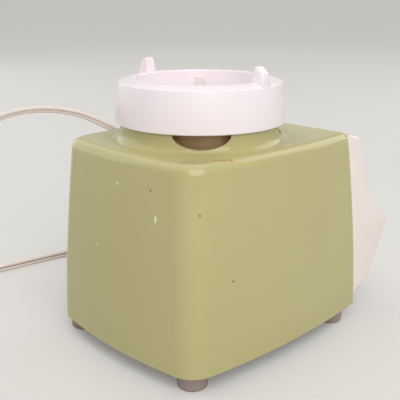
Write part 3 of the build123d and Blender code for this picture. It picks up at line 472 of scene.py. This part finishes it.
def splineLine(points, form):
    # the smooth line through a route, as the points of its own spline
    curve = bpy.data.curves.new("cordRoute", "CURVE")
    curve.dimensions = "3D"
    curve.resolution_u = form["splineSteps"]
    spline = curve.splines.new("NURBS")
    spline.points.add(len(points) - 1)
    for point, place in zip(spline.points, points):
        point.co = (*spot(*place), 1.0)
    spline.order_u = form["splineOrder"]
    spline.use_endpoint_u = True
    route = bpy.data.objects.new("cordRoute", curve)
    mesh = bpy.data.meshes.new_from_object(route)
    line = [vertex.co.copy() for vertex in mesh.vertices]
    bpy.data.objects.remove(route)
    bpy.data.meshes.remove(mesh)
    return line


def twinSection(form):
    # outline of the two cores and the web between them, and how deep in the groove each point lies
    core = form["thick"] / 2
    reach = form["width"] / 2 - core
    steps = form["sectionSteps"]
    outline = []
    for step in range(steps):
        angle = fullTurn * step / steps
        across = math.cos(angle) * form["width"] / 2
        height = math.sqrt(max(0.0, core**2 - (abs(across) - reach) ** 2))
        if abs(across) < reach:
            height = max(height, form["web"] / 2)
        atEdge = step in (0, steps / 2)
        up = 0.0 if atEdge else math.copysign(height, math.sin(angle))
        outline.append((across, up, 1.0 - height / core))
    return outline


def leanAt(gone, keys):
    # where the flat side faces, between the two keys on either side
    later = next(index for index, (far, _) in enumerate(keys) if far >= gone) or 1
    (farA, leanA), (farB, leanB) = keys[later - 1], keys[later]
    return Vector(leanA).lerp(Vector(leanB), (gone - farA) / (farB - farA))


def aheadAt(line, index):
    # the line's direction at one of its points, not of length one
    return line[min(index + 1, len(line) - 1)] - line[max(index - 1, 0)]


def sweepCord(name, line, form):
    # carries the section along the line, and says how long the line is
    outline = twinSection(form)
    steps = len(outline)
    vertices, faces, groove = [], [], []
    gone = 0.0
    for index, here in enumerate(line):
        if index:
            gone += (here - line[index - 1]).length
        ahead = aheadAt(line, index)
        wide = ahead.cross(leanAt(gone, form["lean"])).normalized()
        thin = wide.cross(ahead).normalized()
        # painted shade and dirt in the groove: least on the stretch in the air, most where the cord
        # lies on the floor
        dirtAndShade = (gone - form["palestGrooveUntil"]) / (form["darkestGrooveFrom"] - form["palestGrooveUntil"])
        dirtAndShade = min(1.0, max(form["leastDirtAndShade"], dirtAndShade))
        for across, up, depth in outline:
            vertices.append(here + wide * across * mm + thin * up * mm)
            groove.append(depth * dirtAndShade if abs(across) < form["thick"] / 2 else 0.0)
    for start in range(0, (len(line) - 1) * steps, steps):
        for step in range(steps):
            here, beside = start + step, start + (step + 1) % steps
            faces.append((here, beside, beside + steps, here + steps))
    faces.append(tuple(reversed(range(steps))))
    faces.append(tuple(range((len(line) - 1) * steps, len(line) * steps)))
    mesh = bpy.data.meshes.new(name)
    mesh.from_pydata(vertices, [], faces)
    mesh.attributes.new("groove", "FLOAT", "POINT").data.foreach_set("value", groove)
    piece = bpy.data.objects.new(name, mesh)
    scene.collection.objects.link(piece)
    return piece, gone


cordLine = splineLine(cordForm["free"] + coilPoints(cordForm) + cordForm["tail"], cordForm)
cord, cordLength = sweepCord("flatCord", cordLine, cordForm)
cord.data.materials.append(finishes["cord_plastic"])
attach(cord, "base")
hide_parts("power_cord", "cord_coil")
print("cord laid:", round(cordLength, 3), "m")


def pick(*pieces):
    # the first one is also made active
    bpy.ops.object.select_all(action="DESELECT")
    for piece in pieces:
        piece.select_set(True)
    bpy.context.view_layer.objects.active = pieces[0]


def settle(piece):
    # puts a piece's own place, turn and scale into its mesh
    pick(piece)
    bpy.ops.object.transform_apply(location=True, rotation=True, scale=True)


def softened(corners, steps=4):
    # a closed outline of (across, up, radius) corners, each corner turned into a short arc
    outline = []
    for index, (across, up, radius) in enumerate(corners):
        here = Vector((across, up))
        if not radius:
            outline.append((across, up))
            continue
        back = (Vector(corners[index - 1][:2]) - here).normalized()
        onward = (Vector(corners[(index + 1) % len(corners)][:2]) - here).normalized()
        half = back.angle(onward) / 2
        middle = here + (back + onward).normalized() * radius / math.sin(half)
        first = here + back * radius / math.tan(half) - middle
        last = here + onward * radius / math.tan(half) - middle
        begin = math.atan2(first.y, first.x)
        sweep = (math.atan2(last.y, last.x) - begin + math.pi) % fullTurn - math.pi
        for step in range(steps + 1):
            angle = begin + sweep * step / steps
            rim = (middle.x + radius * math.cos(angle), middle.y + radius * math.sin(angle))
            outline.append(rim)
    return outline


def roundedBox(left, low, right, high, radius, steps):
    corners = ((left, low), (right, low), (right, high), (left, high))
    return softened([(*corner, radius) for corner in corners], steps)


def chain(name, points):
    # a new object whose only edges run from point to point, left in edit mode with all of it picked
    bpy.ops.mesh.primitive_plane_add(size=mm, location=(0, 0, 0))
    piece = bpy.context.object
    piece.name = piece.data.name = name
    bpy.ops.object.mode_set(mode="EDIT")
    bpy.ops.mesh.select_mode(type="VERT")
    bpy.ops.mesh.select_all(action="SELECT")
    bpy.ops.mesh.merge(type="CENTER")
    bpy.ops.transform.translate(value=points[0])
    for before, after in zip(points, points[1:]):
        bpy.ops.mesh.extrude_vertices_move(TRANSFORM_OT_translate={"value": after - before})
    bpy.ops.mesh.select_all(action="SELECT")
    return piece


def closeUp():
    # leaves edit mode with doubled points merged and all faces turned outwards
    bpy.ops.mesh.select_all(action="SELECT")
    bpy.ops.mesh.remove_doubles(threshold=weld)
    bpy.ops.mesh.normals_make_consistent(inside=False)
    bpy.ops.object.mode_set(mode="OBJECT")


def lathe(name, outline, foot, steps, along=(0, 0, 1), out=(1, 0, 0)):
    # spins (radius, height) points in mm round an axis; an outline off the axis is closed first
    points = [
        foot + Vector(out) * (radius * mm) + Vector(along) * (height * mm)
        for radius, height in outline
    ]
    onAxis = outline[0][0] == 0 and outline[-1][0] == 0
    piece = chain(name, points if onAxis else points + points[:1])
    bpy.ops.mesh.spin(steps=steps, angle=fullTurn, center=foot, axis=along)
    closeUp()
    return piece


def slab(name, outline, width):
    # fills an outline in the XZ plane and extrudes it along Y, half to each side
    points = [Vector((across * mm, -width * mm / 2, up * mm)) for across, up in outline]
    piece = chain(name, points + points[:1])
    bpy.ops.mesh.remove_doubles(threshold=weld)
    bpy.ops.mesh.edge_face_add()
    bpy.ops.mesh.extrude_region_move(TRANSFORM_OT_translate={"value": (0, width * mm, 0)})
    closeUp()
    return piece


def block(name, size, middle):
    bpy.ops.mesh.primitive_cube_add(size=1, location=[value * mm for value in middle])
    piece = bpy.context.object
    piece.name = piece.data.name = name
    piece.scale = [value * mm for value in size]
    settle(piece)
    return piece


def bridgeRings(shape, rings):
    # faces from each ring of points to the next, and one on each end
    for ringA, ringB in zip(rings, rings[1:]):
        for step in range(len(ringA)):
            beside = (step + 1) % len(ringA)
            shape.faces.new((ringA[step], ringA[beside], ringB[beside], ringB[step]))
    shape.faces.new(rings[0])
    shape.faces.new(rings[-1])


def pieceFrom(shape, name):
    mesh = bpy.data.meshes.new(name)
    shape.to_mesh(mesh)
    shape.free()
    piece = bpy.data.objects.new(name, mesh)
    scene.collection.objects.link(piece)
    pick(piece)
    bpy.ops.object.mode_set(mode="EDIT")
    closeUp()
    return piece


def applyModifier(piece, kind, **settings):
    bpy.context.view_layer.objects.active = piece
    change = piece.modifiers.new(kind.lower(), kind)
    for key, value in settings.items():
        setattr(change, key, value)
    bpy.ops.object.modifier_apply(modifier=change.name)


def carve(piece, tool, operation="DIFFERENCE"):
    applyModifier(piece, "BOOLEAN", object=tool, operation=operation, solver="EXACT")
    bpy.data.objects.remove(tool)


def softEdges(piece, width, steps=3, fromAngle=50):
    applyModifier(
        piece, "BEVEL", width=width * mm, segments=steps, limit_method="ANGLE",
        angle_limit=math.radians(fromAngle),
    )


def joinInto(piece, *others):
    pick(piece, *others)
    bpy.ops.object.join()


def finishPiece(piece, slot, body, *stands, smoothTo=38):
    # stands are the nodes that the piece stands for
    settle(piece)
    bpy.ops.object.shade_smooth_by_angle(angle=math.radians(smoothTo))
    piece.data.materials.clear()
    piece.data.materials.append(finishes[slot])
    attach(piece, body)
    if stands:
        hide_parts(*stands)


# Jar collar: its ring as (radius, height, rounding), and the outline of a lug in the same way
collarForm = {
    "ring": [
        (45.4, 168.0, 0), (45.4, 189.5, 1.0), (49.6, 189.5, 1.6), (57.4, 187.0, 0.9),
        (60.0, 159.1, 0.9), (58.0, 159.1, 0.5), (58.0, 165.7, 0.4), (54.7, 184.3, 0.6),
        (48.1, 184.3, 0.6), (48.1, 168.0, 0),
    ],
    "lug": [
        (46.3, 185.0, 0), (46.3, 189.5, 3.0), (48.5, 199.9, 1.2), (51.4, 199.9, 1.8),
        (55.2, 196.0, 2.6), (57.4, 187.4, 0), (56.5, 185.0, 0),
    ],
    "steps": 160, "lugAngle": 5.5, "lugWidth": 8.8, "lugTop": 0.82, "lugFoot": 187.0,
    "lugHigh": 199.9, "lugRound": 1.3,
}


def collarLug(form):
    # narrows from its foot to its top
    lug = slab("collarLug", softened(form["lug"]), form["lugWidth"])
    for vertex in lug.data.vertices:
        climb = (vertex.co.z / mm - form["lugFoot"]) / (form["lugHigh"] - form["lugFoot"])
        vertex.co.y *= 1 - (1 - form["lugTop"]) * max(0.0, climb)
    softEdges(lug, form["lugRound"])
    return lug


collar = lathe("jarCollar", softened(collarForm["ring"]), spot(0, 0, 0), collarForm["steps"])
for half in (0, 180):
    lug = collarLug(collarForm)
    lug.location = spot(0, 0, 0)
    lug.rotation_euler.z = math.radians(half + collarForm["lugAngle"])
    carve(collar, lug, "UNION")
finishPiece(collar, "collar_white", "base", "jar_collar")
print("collar made")

# Shell's faces, which the panel has to meet
shellForm = {
    "foot": 11.0, "deck": 147.0, "halfWidth": 80.3, "draft": 9.0, "front": -95.2,
    "frontDraft": 9.7, "leanPower": 1.5, "widest": -13.7, "sideBow": 582.0,
}


def shellLean(height):
    share = max(0.0, height - shellForm["foot"]) / (shellForm["deck"] - shellForm["foot"])
    return share ** shellForm["leanPower"]


def shellFront(height):
    return shellForm["front"] + shellForm["frontDraft"] * shellLean(height)


def panelHalfWidth(height):
    bow = shellForm["sideBow"]
    sag = bow - math.sqrt(bow**2 - (shellFront(height) - shellForm["widest"]) ** 2)
    return shellForm["halfWidth"] - shellForm["draft"] * shellLean(height) - sag


# Control panel: its front as (y, height, rounding) from the top edge to the sill, its rounded ends,
# the hollow behind it and the window that the keys stand in
panelForm = {
    "front": [
        (-85.5, 146.4, 0), (-102.0, 142.0, 4.0), (-116.3, 91.0, 3.0), (-141.5, 70.7, 4.0),
        (-113.8, 25.8, 6.0), (-95.04, 19.8, 0),
    ],
    "frontSteps": 6, "run": 5.0, "edge": 1.8, "edgeSteps": 6, "wall": 2.6, "behind": 8.0,
    "thinnest": 7.0, "mostInset": 0.42, "ledgeMiddle": (-128.9, 80.85), "ledgeTilt": 38.8534,
    "window": (111.2, 20.76), "windowDepth": 12.0, "smoothTo": 32,
}


def panelFront(form):
    # the front's corners rounded, and its straights cut into short runs
    front = softened(form["front"], form["frontSteps"])
    dense = [front[0]]
    for (y0, z0), (y1, z1) in zip(front, front[1:]):
        runs = max(1, round(math.hypot(y1 - y0, z1 - z0) / form["run"]))
        for run in range(1, runs + 1):
            dense.append((y0 + (y1 - y0) * run / runs, z0 + (z1 - z0) * run / runs))
    return dense


def panelLoop(form, inset, back, thinnest=-math.inf):
    # points of the front, inset, and of the back at the same heights, where the panel is thick
    dense = panelFront(form)
    places = []
    for index, (y, z) in enumerate(dense):
        before, after = dense[max(0, index - 1)], dense[min(len(dense) - 1, index + 1)]
        along = Vector((after[0] - before[0], after[1] - before[1])).normalized()
        inward = Vector((-along.y, along.x))  # the front runs downwards, so this points inside
        depth = shellFront(z) - y
        if depth > thinnest:
            most = form["mostInset"] * max(0.0, depth)
            pushed = Vector((y, z)) + inward * min(inset, most)
            places.append((pushed, (shellFront(z) - min(back, most), z)))
    return places


def panelEnds(form):
    # how far the rows at a rounded end lie in from the side, and how much of the loop they lose
    ends = []
    for step in range(form["edgeSteps"] + 1):
        angle = math.pi / 2 * step / form["edgeSteps"]
        ends.append((form["edge"] * (1 - math.sin(angle)), form["edge"] * (1 - math.cos(angle))))
    return ends


def panelBlock(name, form, wall=0.0):
    # rows of the loop across the width; a wall over zero gives the hollow
    ends = [(wall, 0.0)] if wall else panelEnds(form)
    rows = [(-1, *end) for end in reversed(ends)] + [(1, *end) for end in ends]
    shape = bmesh.new()
    grid = []
    for side, inset, trim in rows:
        if wall:
            loop = panelLoop(form, wall, -form["behind"], form["thinnest"])
        else:
            loop = panelLoop(form, trim, trim)
        grid.append([
            [shape.verts.new(spot(side * (panelHalfWidth(z) - inset), y, z)) for y, z in line]
            for line in zip(*loop)
        ])
    last = len(grid[0][0]) - 1
    for (frontA, backA), (frontB, backB) in zip(grid, grid[1:]):
        for k in range(last):
            shape.faces.new((frontA[k], frontA[k + 1], frontB[k + 1], frontB[k]))
            shape.faces.new((backA[k + 1], backA[k], backB[k], backB[k + 1]))
        shape.faces.new((frontA[0], frontB[0], backB[0], backA[0]))
        shape.faces.new((frontA[last], backA[last], backB[last], frontB[last]))
    for front, back in (grid[0], grid[-1]):
        for k in range(last):
            shape.faces.new((front[k], back[k], back[k + 1], front[k + 1]))
    return pieceFrom(shape, name)


def onLedge(x, form=panelForm):
    # turns a piece drawn flat at the origin onto the ledge, x mm from its middle
    tilt = math.radians(form["ledgeTilt"])
    upLedge = Vector((0, math.cos(tilt), math.sin(tilt)))
    offLedge = Vector((0, -math.sin(tilt), math.cos(tilt)))
    place = Matrix((Vector((1, 0, 0)), upLedge, offLedge)).transposed().to_4x4()
    place.translation = spot(x, *form["ledgeMiddle"])
    return place


panel = panelBlock("keyPanel", panelForm)
carve(panel, panelBlock("panelHollow", panelForm, panelForm["wall"]))
window = block("keyWindow", (*panelForm["window"], 2 * panelForm["windowDepth"]), (0, 0, 0))
window.data.transform(onLedge(0))
carve(panel, window)
finishPiece(panel, "white_plastic", "base", "control_panel", smoothTo=panelForm["smoothTo"])
print("panel made")

# Piano keys: a dished cap, the flange under the ledge that stops it, and its stem
keyForm = {
    "count": 8, "pitch": 13.9, "gap": 0.8, "length": 19.96, "rise": 6.0, "flangeTop": -2.9,
    "flange": 2.0, "flangeLength": 23.76, "stem": (5.0, 8.0), "stemEnd": -13.7, "rim": 2.0,
    "dish": 1.1, "round": 1.1, "roundSteps": 4, "roundFrom": 15, "facesUp": 0.9,
}


def makeKey(name, form):
    width = form["pitch"] - form["gap"]
    tall = form["rise"] - form["flangeTop"]
    key = block(name, (width, form["length"], tall), (0, 0, form["rise"] - tall / 2))
    bpy.ops.object.mode_set(mode="EDIT")
    bpy.ops.mesh.select_mode(type="FACE")
    bpy.ops.mesh.select_all(action="DESELECT")
    for face in bmesh.from_edit_mesh(key.data).faces:
        face.select_set(face.normal.z > form["facesUp"])
    bmesh.update_edit_mesh(key.data)
    bpy.ops.mesh.inset(thickness=form["rim"] * mm)
    bpy.ops.transform.translate(value=(0, 0, -form["dish"] * mm))
    bpy.ops.object.mode_set(mode="OBJECT")
    softEdges(key, form["round"], form["roundSteps"], form["roundFrom"])
    flangeLow = form["flangeTop"] - form["flange"]
    for size, low, high in (
        ((width, form["flangeLength"]), flangeLow, form["flangeTop"]),
        (form["stem"], form["stemEnd"], flangeLow),
    ):
        carve(key, block("keyFoot", (*size, high - low), (0, 0, (low + high) / 2)), "UNION")
    return key


for number in range(keyForm["count"]):
    name = f"key_{number + 1}"
    key = makeKey(f"keyCap{number + 1}", keyForm)
    key.data.transform(onLedge(keyForm["pitch"] * (number - (keyForm["count"] - 1) / 2)))
    finishPiece(key, "key_plastic", name, name)
print("keys made")

# Strain relief: ribbed sleeve in the +X wall; distances along X, and the course of one groove as
# (share of the pitch, share of the depth)
reliefForm = {
    "y": -19.5, "z": 131.0, "inside": 67.61, "seat": 73.6, "flange": 2.4, "flangeRadius": 8.0,
    "flangeSide": 0.7, "flangeRound": 0.8, "neckRadius": 5.0, "ribStart": 77.2, "ribEnd": 93.0,
    "ribs": 6, "rootRadius": 5.3, "tipRadius": 3.6, "groove": 0.75, "end": 95.0, "endRound": 0.2,
    "course": [(0, 0), (0.12, 0.8), (0.36, 1), (0.48, 0.25), (0.58, 0)],
    "steps": 48, "smoothTo": 30,
}


def reliefOutline(form):
    flangeEnd = form["seat"] + form["flange"]
    outline = [
        (0, form["inside"]),
        (form["flangeRadius"] - form["flange"], form["inside"]),
        (form["neckRadius"], form["inside"] + form["flange"] / 2),
        (form["neckRadius"], form["seat"]),
        (form["flangeRadius"], form["seat"]),
        (form["flangeRadius"], form["seat"] + form["flangeSide"] * form["flange"]),
        (form["flangeRadius"] - form["flangeRound"], flangeEnd),
        (form["rootRadius"], flangeEnd),
    ]
    pitch = (form["ribEnd"] - form["ribStart"]) / form["ribs"]
    for rib in range(form["ribs"]):
        start = form["ribStart"] + rib * pitch
        share = rib / form["ribs"]
        radius = form["rootRadius"] + (form["tipRadius"] - form["rootRadius"]) * share
        for part, drop in form["course"]:
            outline.append((radius - drop * form["groove"], start + part * pitch))
    return outline + [
        (form["tipRadius"], form["ribEnd"]), (form["tipRadius"] - form["endRound"], form["end"]),
        (0, form["end"]),
    ]


relief = lathe(
    "strainRelief", reliefOutline(reliefForm), spot(0, reliefForm["y"], reliefForm["z"]),
    reliefForm["steps"], along=(1, 0, 0), out=(0, 0, 1),
)
finishPiece(relief, "cord_plastic", "base", "strain_relief", smoothTo=reliefForm["smoothTo"])

# Plug: rounded sections from the cord's end to the face, as (distance, half width, half height,
# corner), with three grooves for the grip
plugForm = {
    "back": (113.0, -44.0, 8.15), "points": 40, "smoothTo": 40,
    "sections": [
        (0.0, 3.6, 2.9, 2.6), (0.5, 4.3, 3.5, 3.2), (4.2, 4.6, 3.8, 3.4),
        (5.2, 6.6, 4.6, 4.2), (7.0, 9.2, 5.7, 4.6), (9.0, 10.2, 6.2, 4.6),
        (10.4, 10.4, 6.3, 4.6), (10.9, 9.9, 5.8, 4.4), (12.3, 9.9, 5.8, 4.4),
        (12.8, 10.4, 6.3, 4.6), (14.2, 10.4, 6.3, 4.6), (14.7, 9.9, 5.8, 4.4),
        (16.1, 9.9, 5.8, 4.4), (16.6, 10.4, 6.3, 4.6), (18.0, 10.5, 6.3, 4.6),
        (18.5, 10.0, 5.8, 4.4), (19.9, 10.0, 5.8, 4.4), (20.4, 10.6, 6.4, 4.6),
        (22.4, 10.8, 6.6, 4.6), (24.6, 11.9, 7.6, 4.0), (25.4, 12.0, 7.8, 3.6),
        (31.2, 12.0, 7.8, 3.6), (31.8, 11.7, 7.5, 3.4), (32.0, 11.2, 7.0, 3.0),
    ],
}


def plugRing(form, section):
    gone, halfWidth, halfHeight, corner = section
    x, y, z = form["back"]
    ring = []
    for step in range(form["points"]):
        angle = fullTurn * (step + 0.5) / form["points"]
        side, rise = math.copysign(1, math.cos(angle)), math.copysign(1, math.sin(angle))
        across = side * (halfWidth - corner) + corner * math.cos(angle)
        up = rise * (halfHeight - corner) + corner * math.sin(angle)
        ring.append(spot(x + across, y + gone, z + up))
    return ring


plugShape = bmesh.new()
bridgeRings(plugShape, [
    [plugShape.verts.new(place) for place in plugRing(plugForm, section)]
    for section in plugForm["sections"]
])
plug = pieceFrom(plugShape, "plugBody")
finishPiece(plug, "cord_plastic", "base", "plug_body", smoothTo=plugForm["smoothTo"])
print("cord ends made")

# Pan head screws with a cross recess: the collar's from above, the bottom plate's from below
screwForm = {
    "shank": 1.7, "tipIn": 0.5, "tipUp": 0.6, "head": 3.2, "rise": 2.2, "dome": 0.7,
    "domeReach": 1.8, "domeSteps": 4, "slot": (4.0, 0.85, 2.0), "slotDepth": 1.1, "steps": 32,
    "firstTurn": 23, "nextTurn": 67, "smoothTo": 30,
    "collarRing": 38.0, "collarTurn": 45.0, "collarSeat": 168.0,
    "platePlaces": [(-36.0, 75.985), (-36.0, -88.5), (36.0, 75.985), (36.0, -88.5)],
    "plateSeat": 11.0,
}


def panScrew(name, form, length):
    outline = [
        (0, -length), (form["shank"] - form["tipIn"], -length),
        (form["shank"], -length + form["tipUp"]), (form["shank"], 0), (form["head"], 0),
        (form["head"], form["rise"] - form["dome"]),
    ]
    for step in range(1, form["domeSteps"] + 1):
        angle = math.pi / 2 * step / form["domeSteps"]
        outline.append((
            form["head"] - form["dome"] * form["domeReach"] * (1 - math.cos(angle)),
            form["rise"] - form["dome"] + form["dome"] * math.sin(angle),
        ))
    outline.append((0, form["rise"]))
    piece = lathe(name, outline, Vector((0, 0, 0)), form["steps"])
    slotMiddle = form["rise"] - form["slotDepth"] + form["slot"][2] / 2
    for turn in (0, 90):
        slot = block("screwSlot", form["slot"], (0, 0, slotMiddle))
        slot.rotation_euler.z = math.radians(turn)
        carve(piece, slot)
    return piece


def setScrews(name, node, places, seat, turnedDown, form=screwForm):
    # the shanks are as long as the node's own
    low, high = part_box(node)
    length = high[2] - seat * mm if turnedDown else seat * mm - low[2]
    screws = []
    for index, (x, y) in enumerate(places):
        screw = panScrew(name + str(index), form, length / mm)
        turn = math.radians(form["firstTurn"] + form["nextTurn"] * index)
        screw.rotation_euler = (math.pi if turnedDown else 0.0, 0.0, turn)
        screw.location = spot(x, y, seat)
        settle(screw)
        screws.append(screw)
    joinInto(*screws)
    screws[0].name = screws[0].data.name = name
    finishPiece(screws[0], "fastener_steel", "base", node, smoothTo=form["smoothTo"])


def collarPlaces(form):
    turns = [math.radians(form["collarTurn"] + 90 * quarter) for quarter in range(4)]
    radius = form["collarRing"]
    return [(radius * math.cos(turn), radius * math.sin(turn)) for turn in turns]


setScrews(
    "collarScrews", "collar_screws", collarPlaces(screwForm), screwForm["collarSeat"], False
)
setScrews("plateScrews", "plate_screws", screwForm["platePlaces"], screwForm["plateSeat"], True)
print("screws set")

# Wire tie round the coil: a flat loop over the turns, with its two ends twisted together
tieForm = {
    "middle": (149.0, -48.2), "halfWidth": 12.2, "low": 0.45, "high": 9.3, "corner": 3.6,
    "cornerSteps": 8, "band": 2.6, "thick": 0.7, "edge": 0.3, "edgeSteps": 3,
    "twists": 3.5, "tailLength": 15.0, "tailSteps": 44, "tailWidth": 1.1, "tailUp": 1.0,
    "tailDroop": 5.0, "tailBand": 1.7, "flare": 2.2, "flareFrom": 0.8,
}


def ribbon(name, line, across, band, form):
    # a band with rounded edges along a line, its width along the direction given at each point
    shape = bmesh.new()
    outline = roundedBox(
        -band / 2, -form["thick"] / 2, band / 2, form["thick"] / 2, form["edge"], form["edgeSteps"]
    )
    rings = []
    for index, here in enumerate(line):
        wide = across[index].normalized()
        up = aheadAt(line, index).cross(wide).normalized()
        rings.append([shape.verts.new(here + wide * a * mm + up * b * mm) for a, b in outline])
    bridgeRings(shape, rings)
    return pieceFrom(shape, name)


def tieLoop(form):
    x, y = form["middle"]
    loop = roundedBox(
        -form["halfWidth"], form["low"], form["halfWidth"], form["high"], form["corner"],
        form["cornerSteps"],
    )
    line = [spot(x, y + across, up) for across, up in loop + loop[:1]]
    return ribbon("coilTie", line, [Vector((1, 0, 0))] * len(line), form["band"], form)


def tieTail(form, begin):
    # one of the two twisted ends, which droop and part a little at their tips
    x, y = form["middle"]
    line, across = [], []
    for step in range(form["tailSteps"] + 1):
        share = step / form["tailSteps"]
        turn = begin + fullTurn * form["twists"] * share
        spread = form["tailWidth"] * (1.0 + form["flare"] * max(0.0, share - form["flareFrom"]))
        height = form["high"] + form["tailUp"] - form["tailDroop"] * share**2
        line.append(spot(
            x + form["tailLength"] * share, y + spread * math.cos(turn),
            height + spread * math.sin(turn),
        ))
        across.append(Vector((0, -math.sin(turn), math.cos(turn))))
    return ribbon("tieTail", line, across, form["tailBand"], form)


tie = tieLoop(tieForm)
for begin in (0.0, math.pi):
    joinInto(tie, tieTail(tieForm, begin))
finishPiece(tie, "cord_plastic", "base")
print("tie made")

# Pale floor, backdrop and soft boxes; each lamp is a name, a place, a size and its watts
stageForm = {
    "floorSize": 60.0, "floor": tint(194, 192, 188), "paler": 1.03, "cloudScale": 3.0,
    "cloudDetail": 3.0, "roughness": 0.7, "far": tint(214, 213, 210), "above": tint(132, 132, 133),
    # the floor rises to the backdrop's tone between these distances
    "near": 0.1, "away": 2.4, "least": 0.22, "lift": 0.5,
    # the backdrop darkens between these heights of the view
    "darkFrom": 0.12, "darkTo": 0.5,
    "sky": 0.34, "skyColour": (1.0, 0.985, 0.965, 1.0),
    "lamps": [
        ("keyBox", (-1.1, 0.62, 1.25), 1.5, 19.0),
        ("viewBox", (-1.75, 1.3, 0.95), 1.4, 7.8),
        ("topBox", (0.1, 0.1, 1.9), 1.8, 7.5),
        ("frontBox", (-0.35, -1.75, 1.2), 1.4, 10.0),
        ("cordBox", (1.6, 0.4, 0.9), 2.2, 13.0),
    ],
    "aim": (0.0, 0.02, 0.09),
}


def straightRay(tree):
    # 1 where the camera, a mirror or glass looks, 0 for the light that falls on the object
    rays = addNode(tree, "ShaderNodeLightPath").outputs
    mirrored = maths(tree, "MAXIMUM", rays["Is Glossy Ray"], rays["Is Transmission Ray"])
    return maths(tree, "MAXIMUM", rays["Is Camera Ray"], mirrored)


def floorFinish(form):
    material, tree, shader = startFinish("studioFloor")
    where = ownPlace(tree)
    cloud = noise(tree, where, form["cloudScale"], form["cloudDetail"])
    paler = [value * form["paler"] for value in form["floor"][:3]] + [1.0]
    reach = vectorMaths(tree, "LENGTH", where)["Value"]
    fade = rescale(tree, reach, form["near"], form["away"], form["least"], form["lift"])
    setSocket(tree, shader["Base Color"], mixColour(tree, cloud, form["floor"], paler))
    setSocket(tree, shader["Roughness"], form["roughness"])
    setSocket(tree, shader["Emission Color"], form["far"])
    setSocket(tree, shader["Emission Strength"], maths(tree, "MULTIPLY", fade, straightRay(tree)))
    return material


def paintWorld(tree, form):
    tree.nodes.clear()
    view = addNode(tree, "ShaderNodeTexCoord").outputs["Generated"]
    climb = addNode(tree, "ShaderNodeSeparateXYZ", {0: view}).outputs["Z"]
    dusk = rescale(tree, climb, form["darkFrom"], form["darkTo"])
    tone = mixColour(tree, dusk, form["far"], form["above"])
    sky = {"Color": form["skyColour"], "Strength": form["sky"]}
    light = addNode(tree, "ShaderNodeBackground", sky).outputs[0]
    backdrop = addNode(tree, "ShaderNodeBackground", {"Color": tone, "Strength": 1.0}).outputs[0]
    mixed = addNode(tree, "ShaderNodeMixShader", {0: straightRay(tree), 1: light, 2: backdrop})
    addNode(tree, "ShaderNodeOutputWorld", {0: mixed.outputs[0]})


bpy.ops.mesh.primitive_plane_add(size=stageForm["floorSize"])
floor = bpy.context.object
floor.name = "studioFloor"
floor.data.materials.append(floorFinish(stageForm))

scene.world = bpy.data.worlds.new("studio")
scene.world.use_nodes = True
paintWorld(scene.world.node_tree, stageForm)

for name, place, size, power in stageForm["lamps"]:
    lamp = bpy.data.lights.new(name, "AREA")
    lamp.size, lamp.energy = size, power
    holder = bpy.data.objects.new(name, lamp)
    holder.location = place
    towards = Vector(stageForm["aim"]) - Vector(place)
    holder.rotation_euler = towards.to_track_quat("-Z", "Y").to_euler()
    scene.collection.objects.link(holder)

# The photograph's viewpoint, in mm from the motor's axis and degrees
viewForm = {
    "place": (-352.701, 341.361, 246.137), "azimuth": 225.953, "pitch": 16.63, "lens": 62.715,
    "sensor": 36.0,
}
camera = bpy.data.cameras.new("photoView")
camera.lens, camera.sensor_width = viewForm["lens"], viewForm["sensor"]
viewer = bpy.data.objects.new("photoView", camera)
viewer.location = spot(*viewForm["place"])
pitch, azimuth = math.radians(90 - viewForm["pitch"]), math.radians(viewForm["azimuth"])
viewer.rotation_euler = (pitch, 0.0, azimuth)
scene.collection.objects.link(viewer)
scene.camera = viewer
scene.view_settings.view_transform = "Standard"
print("stage set")
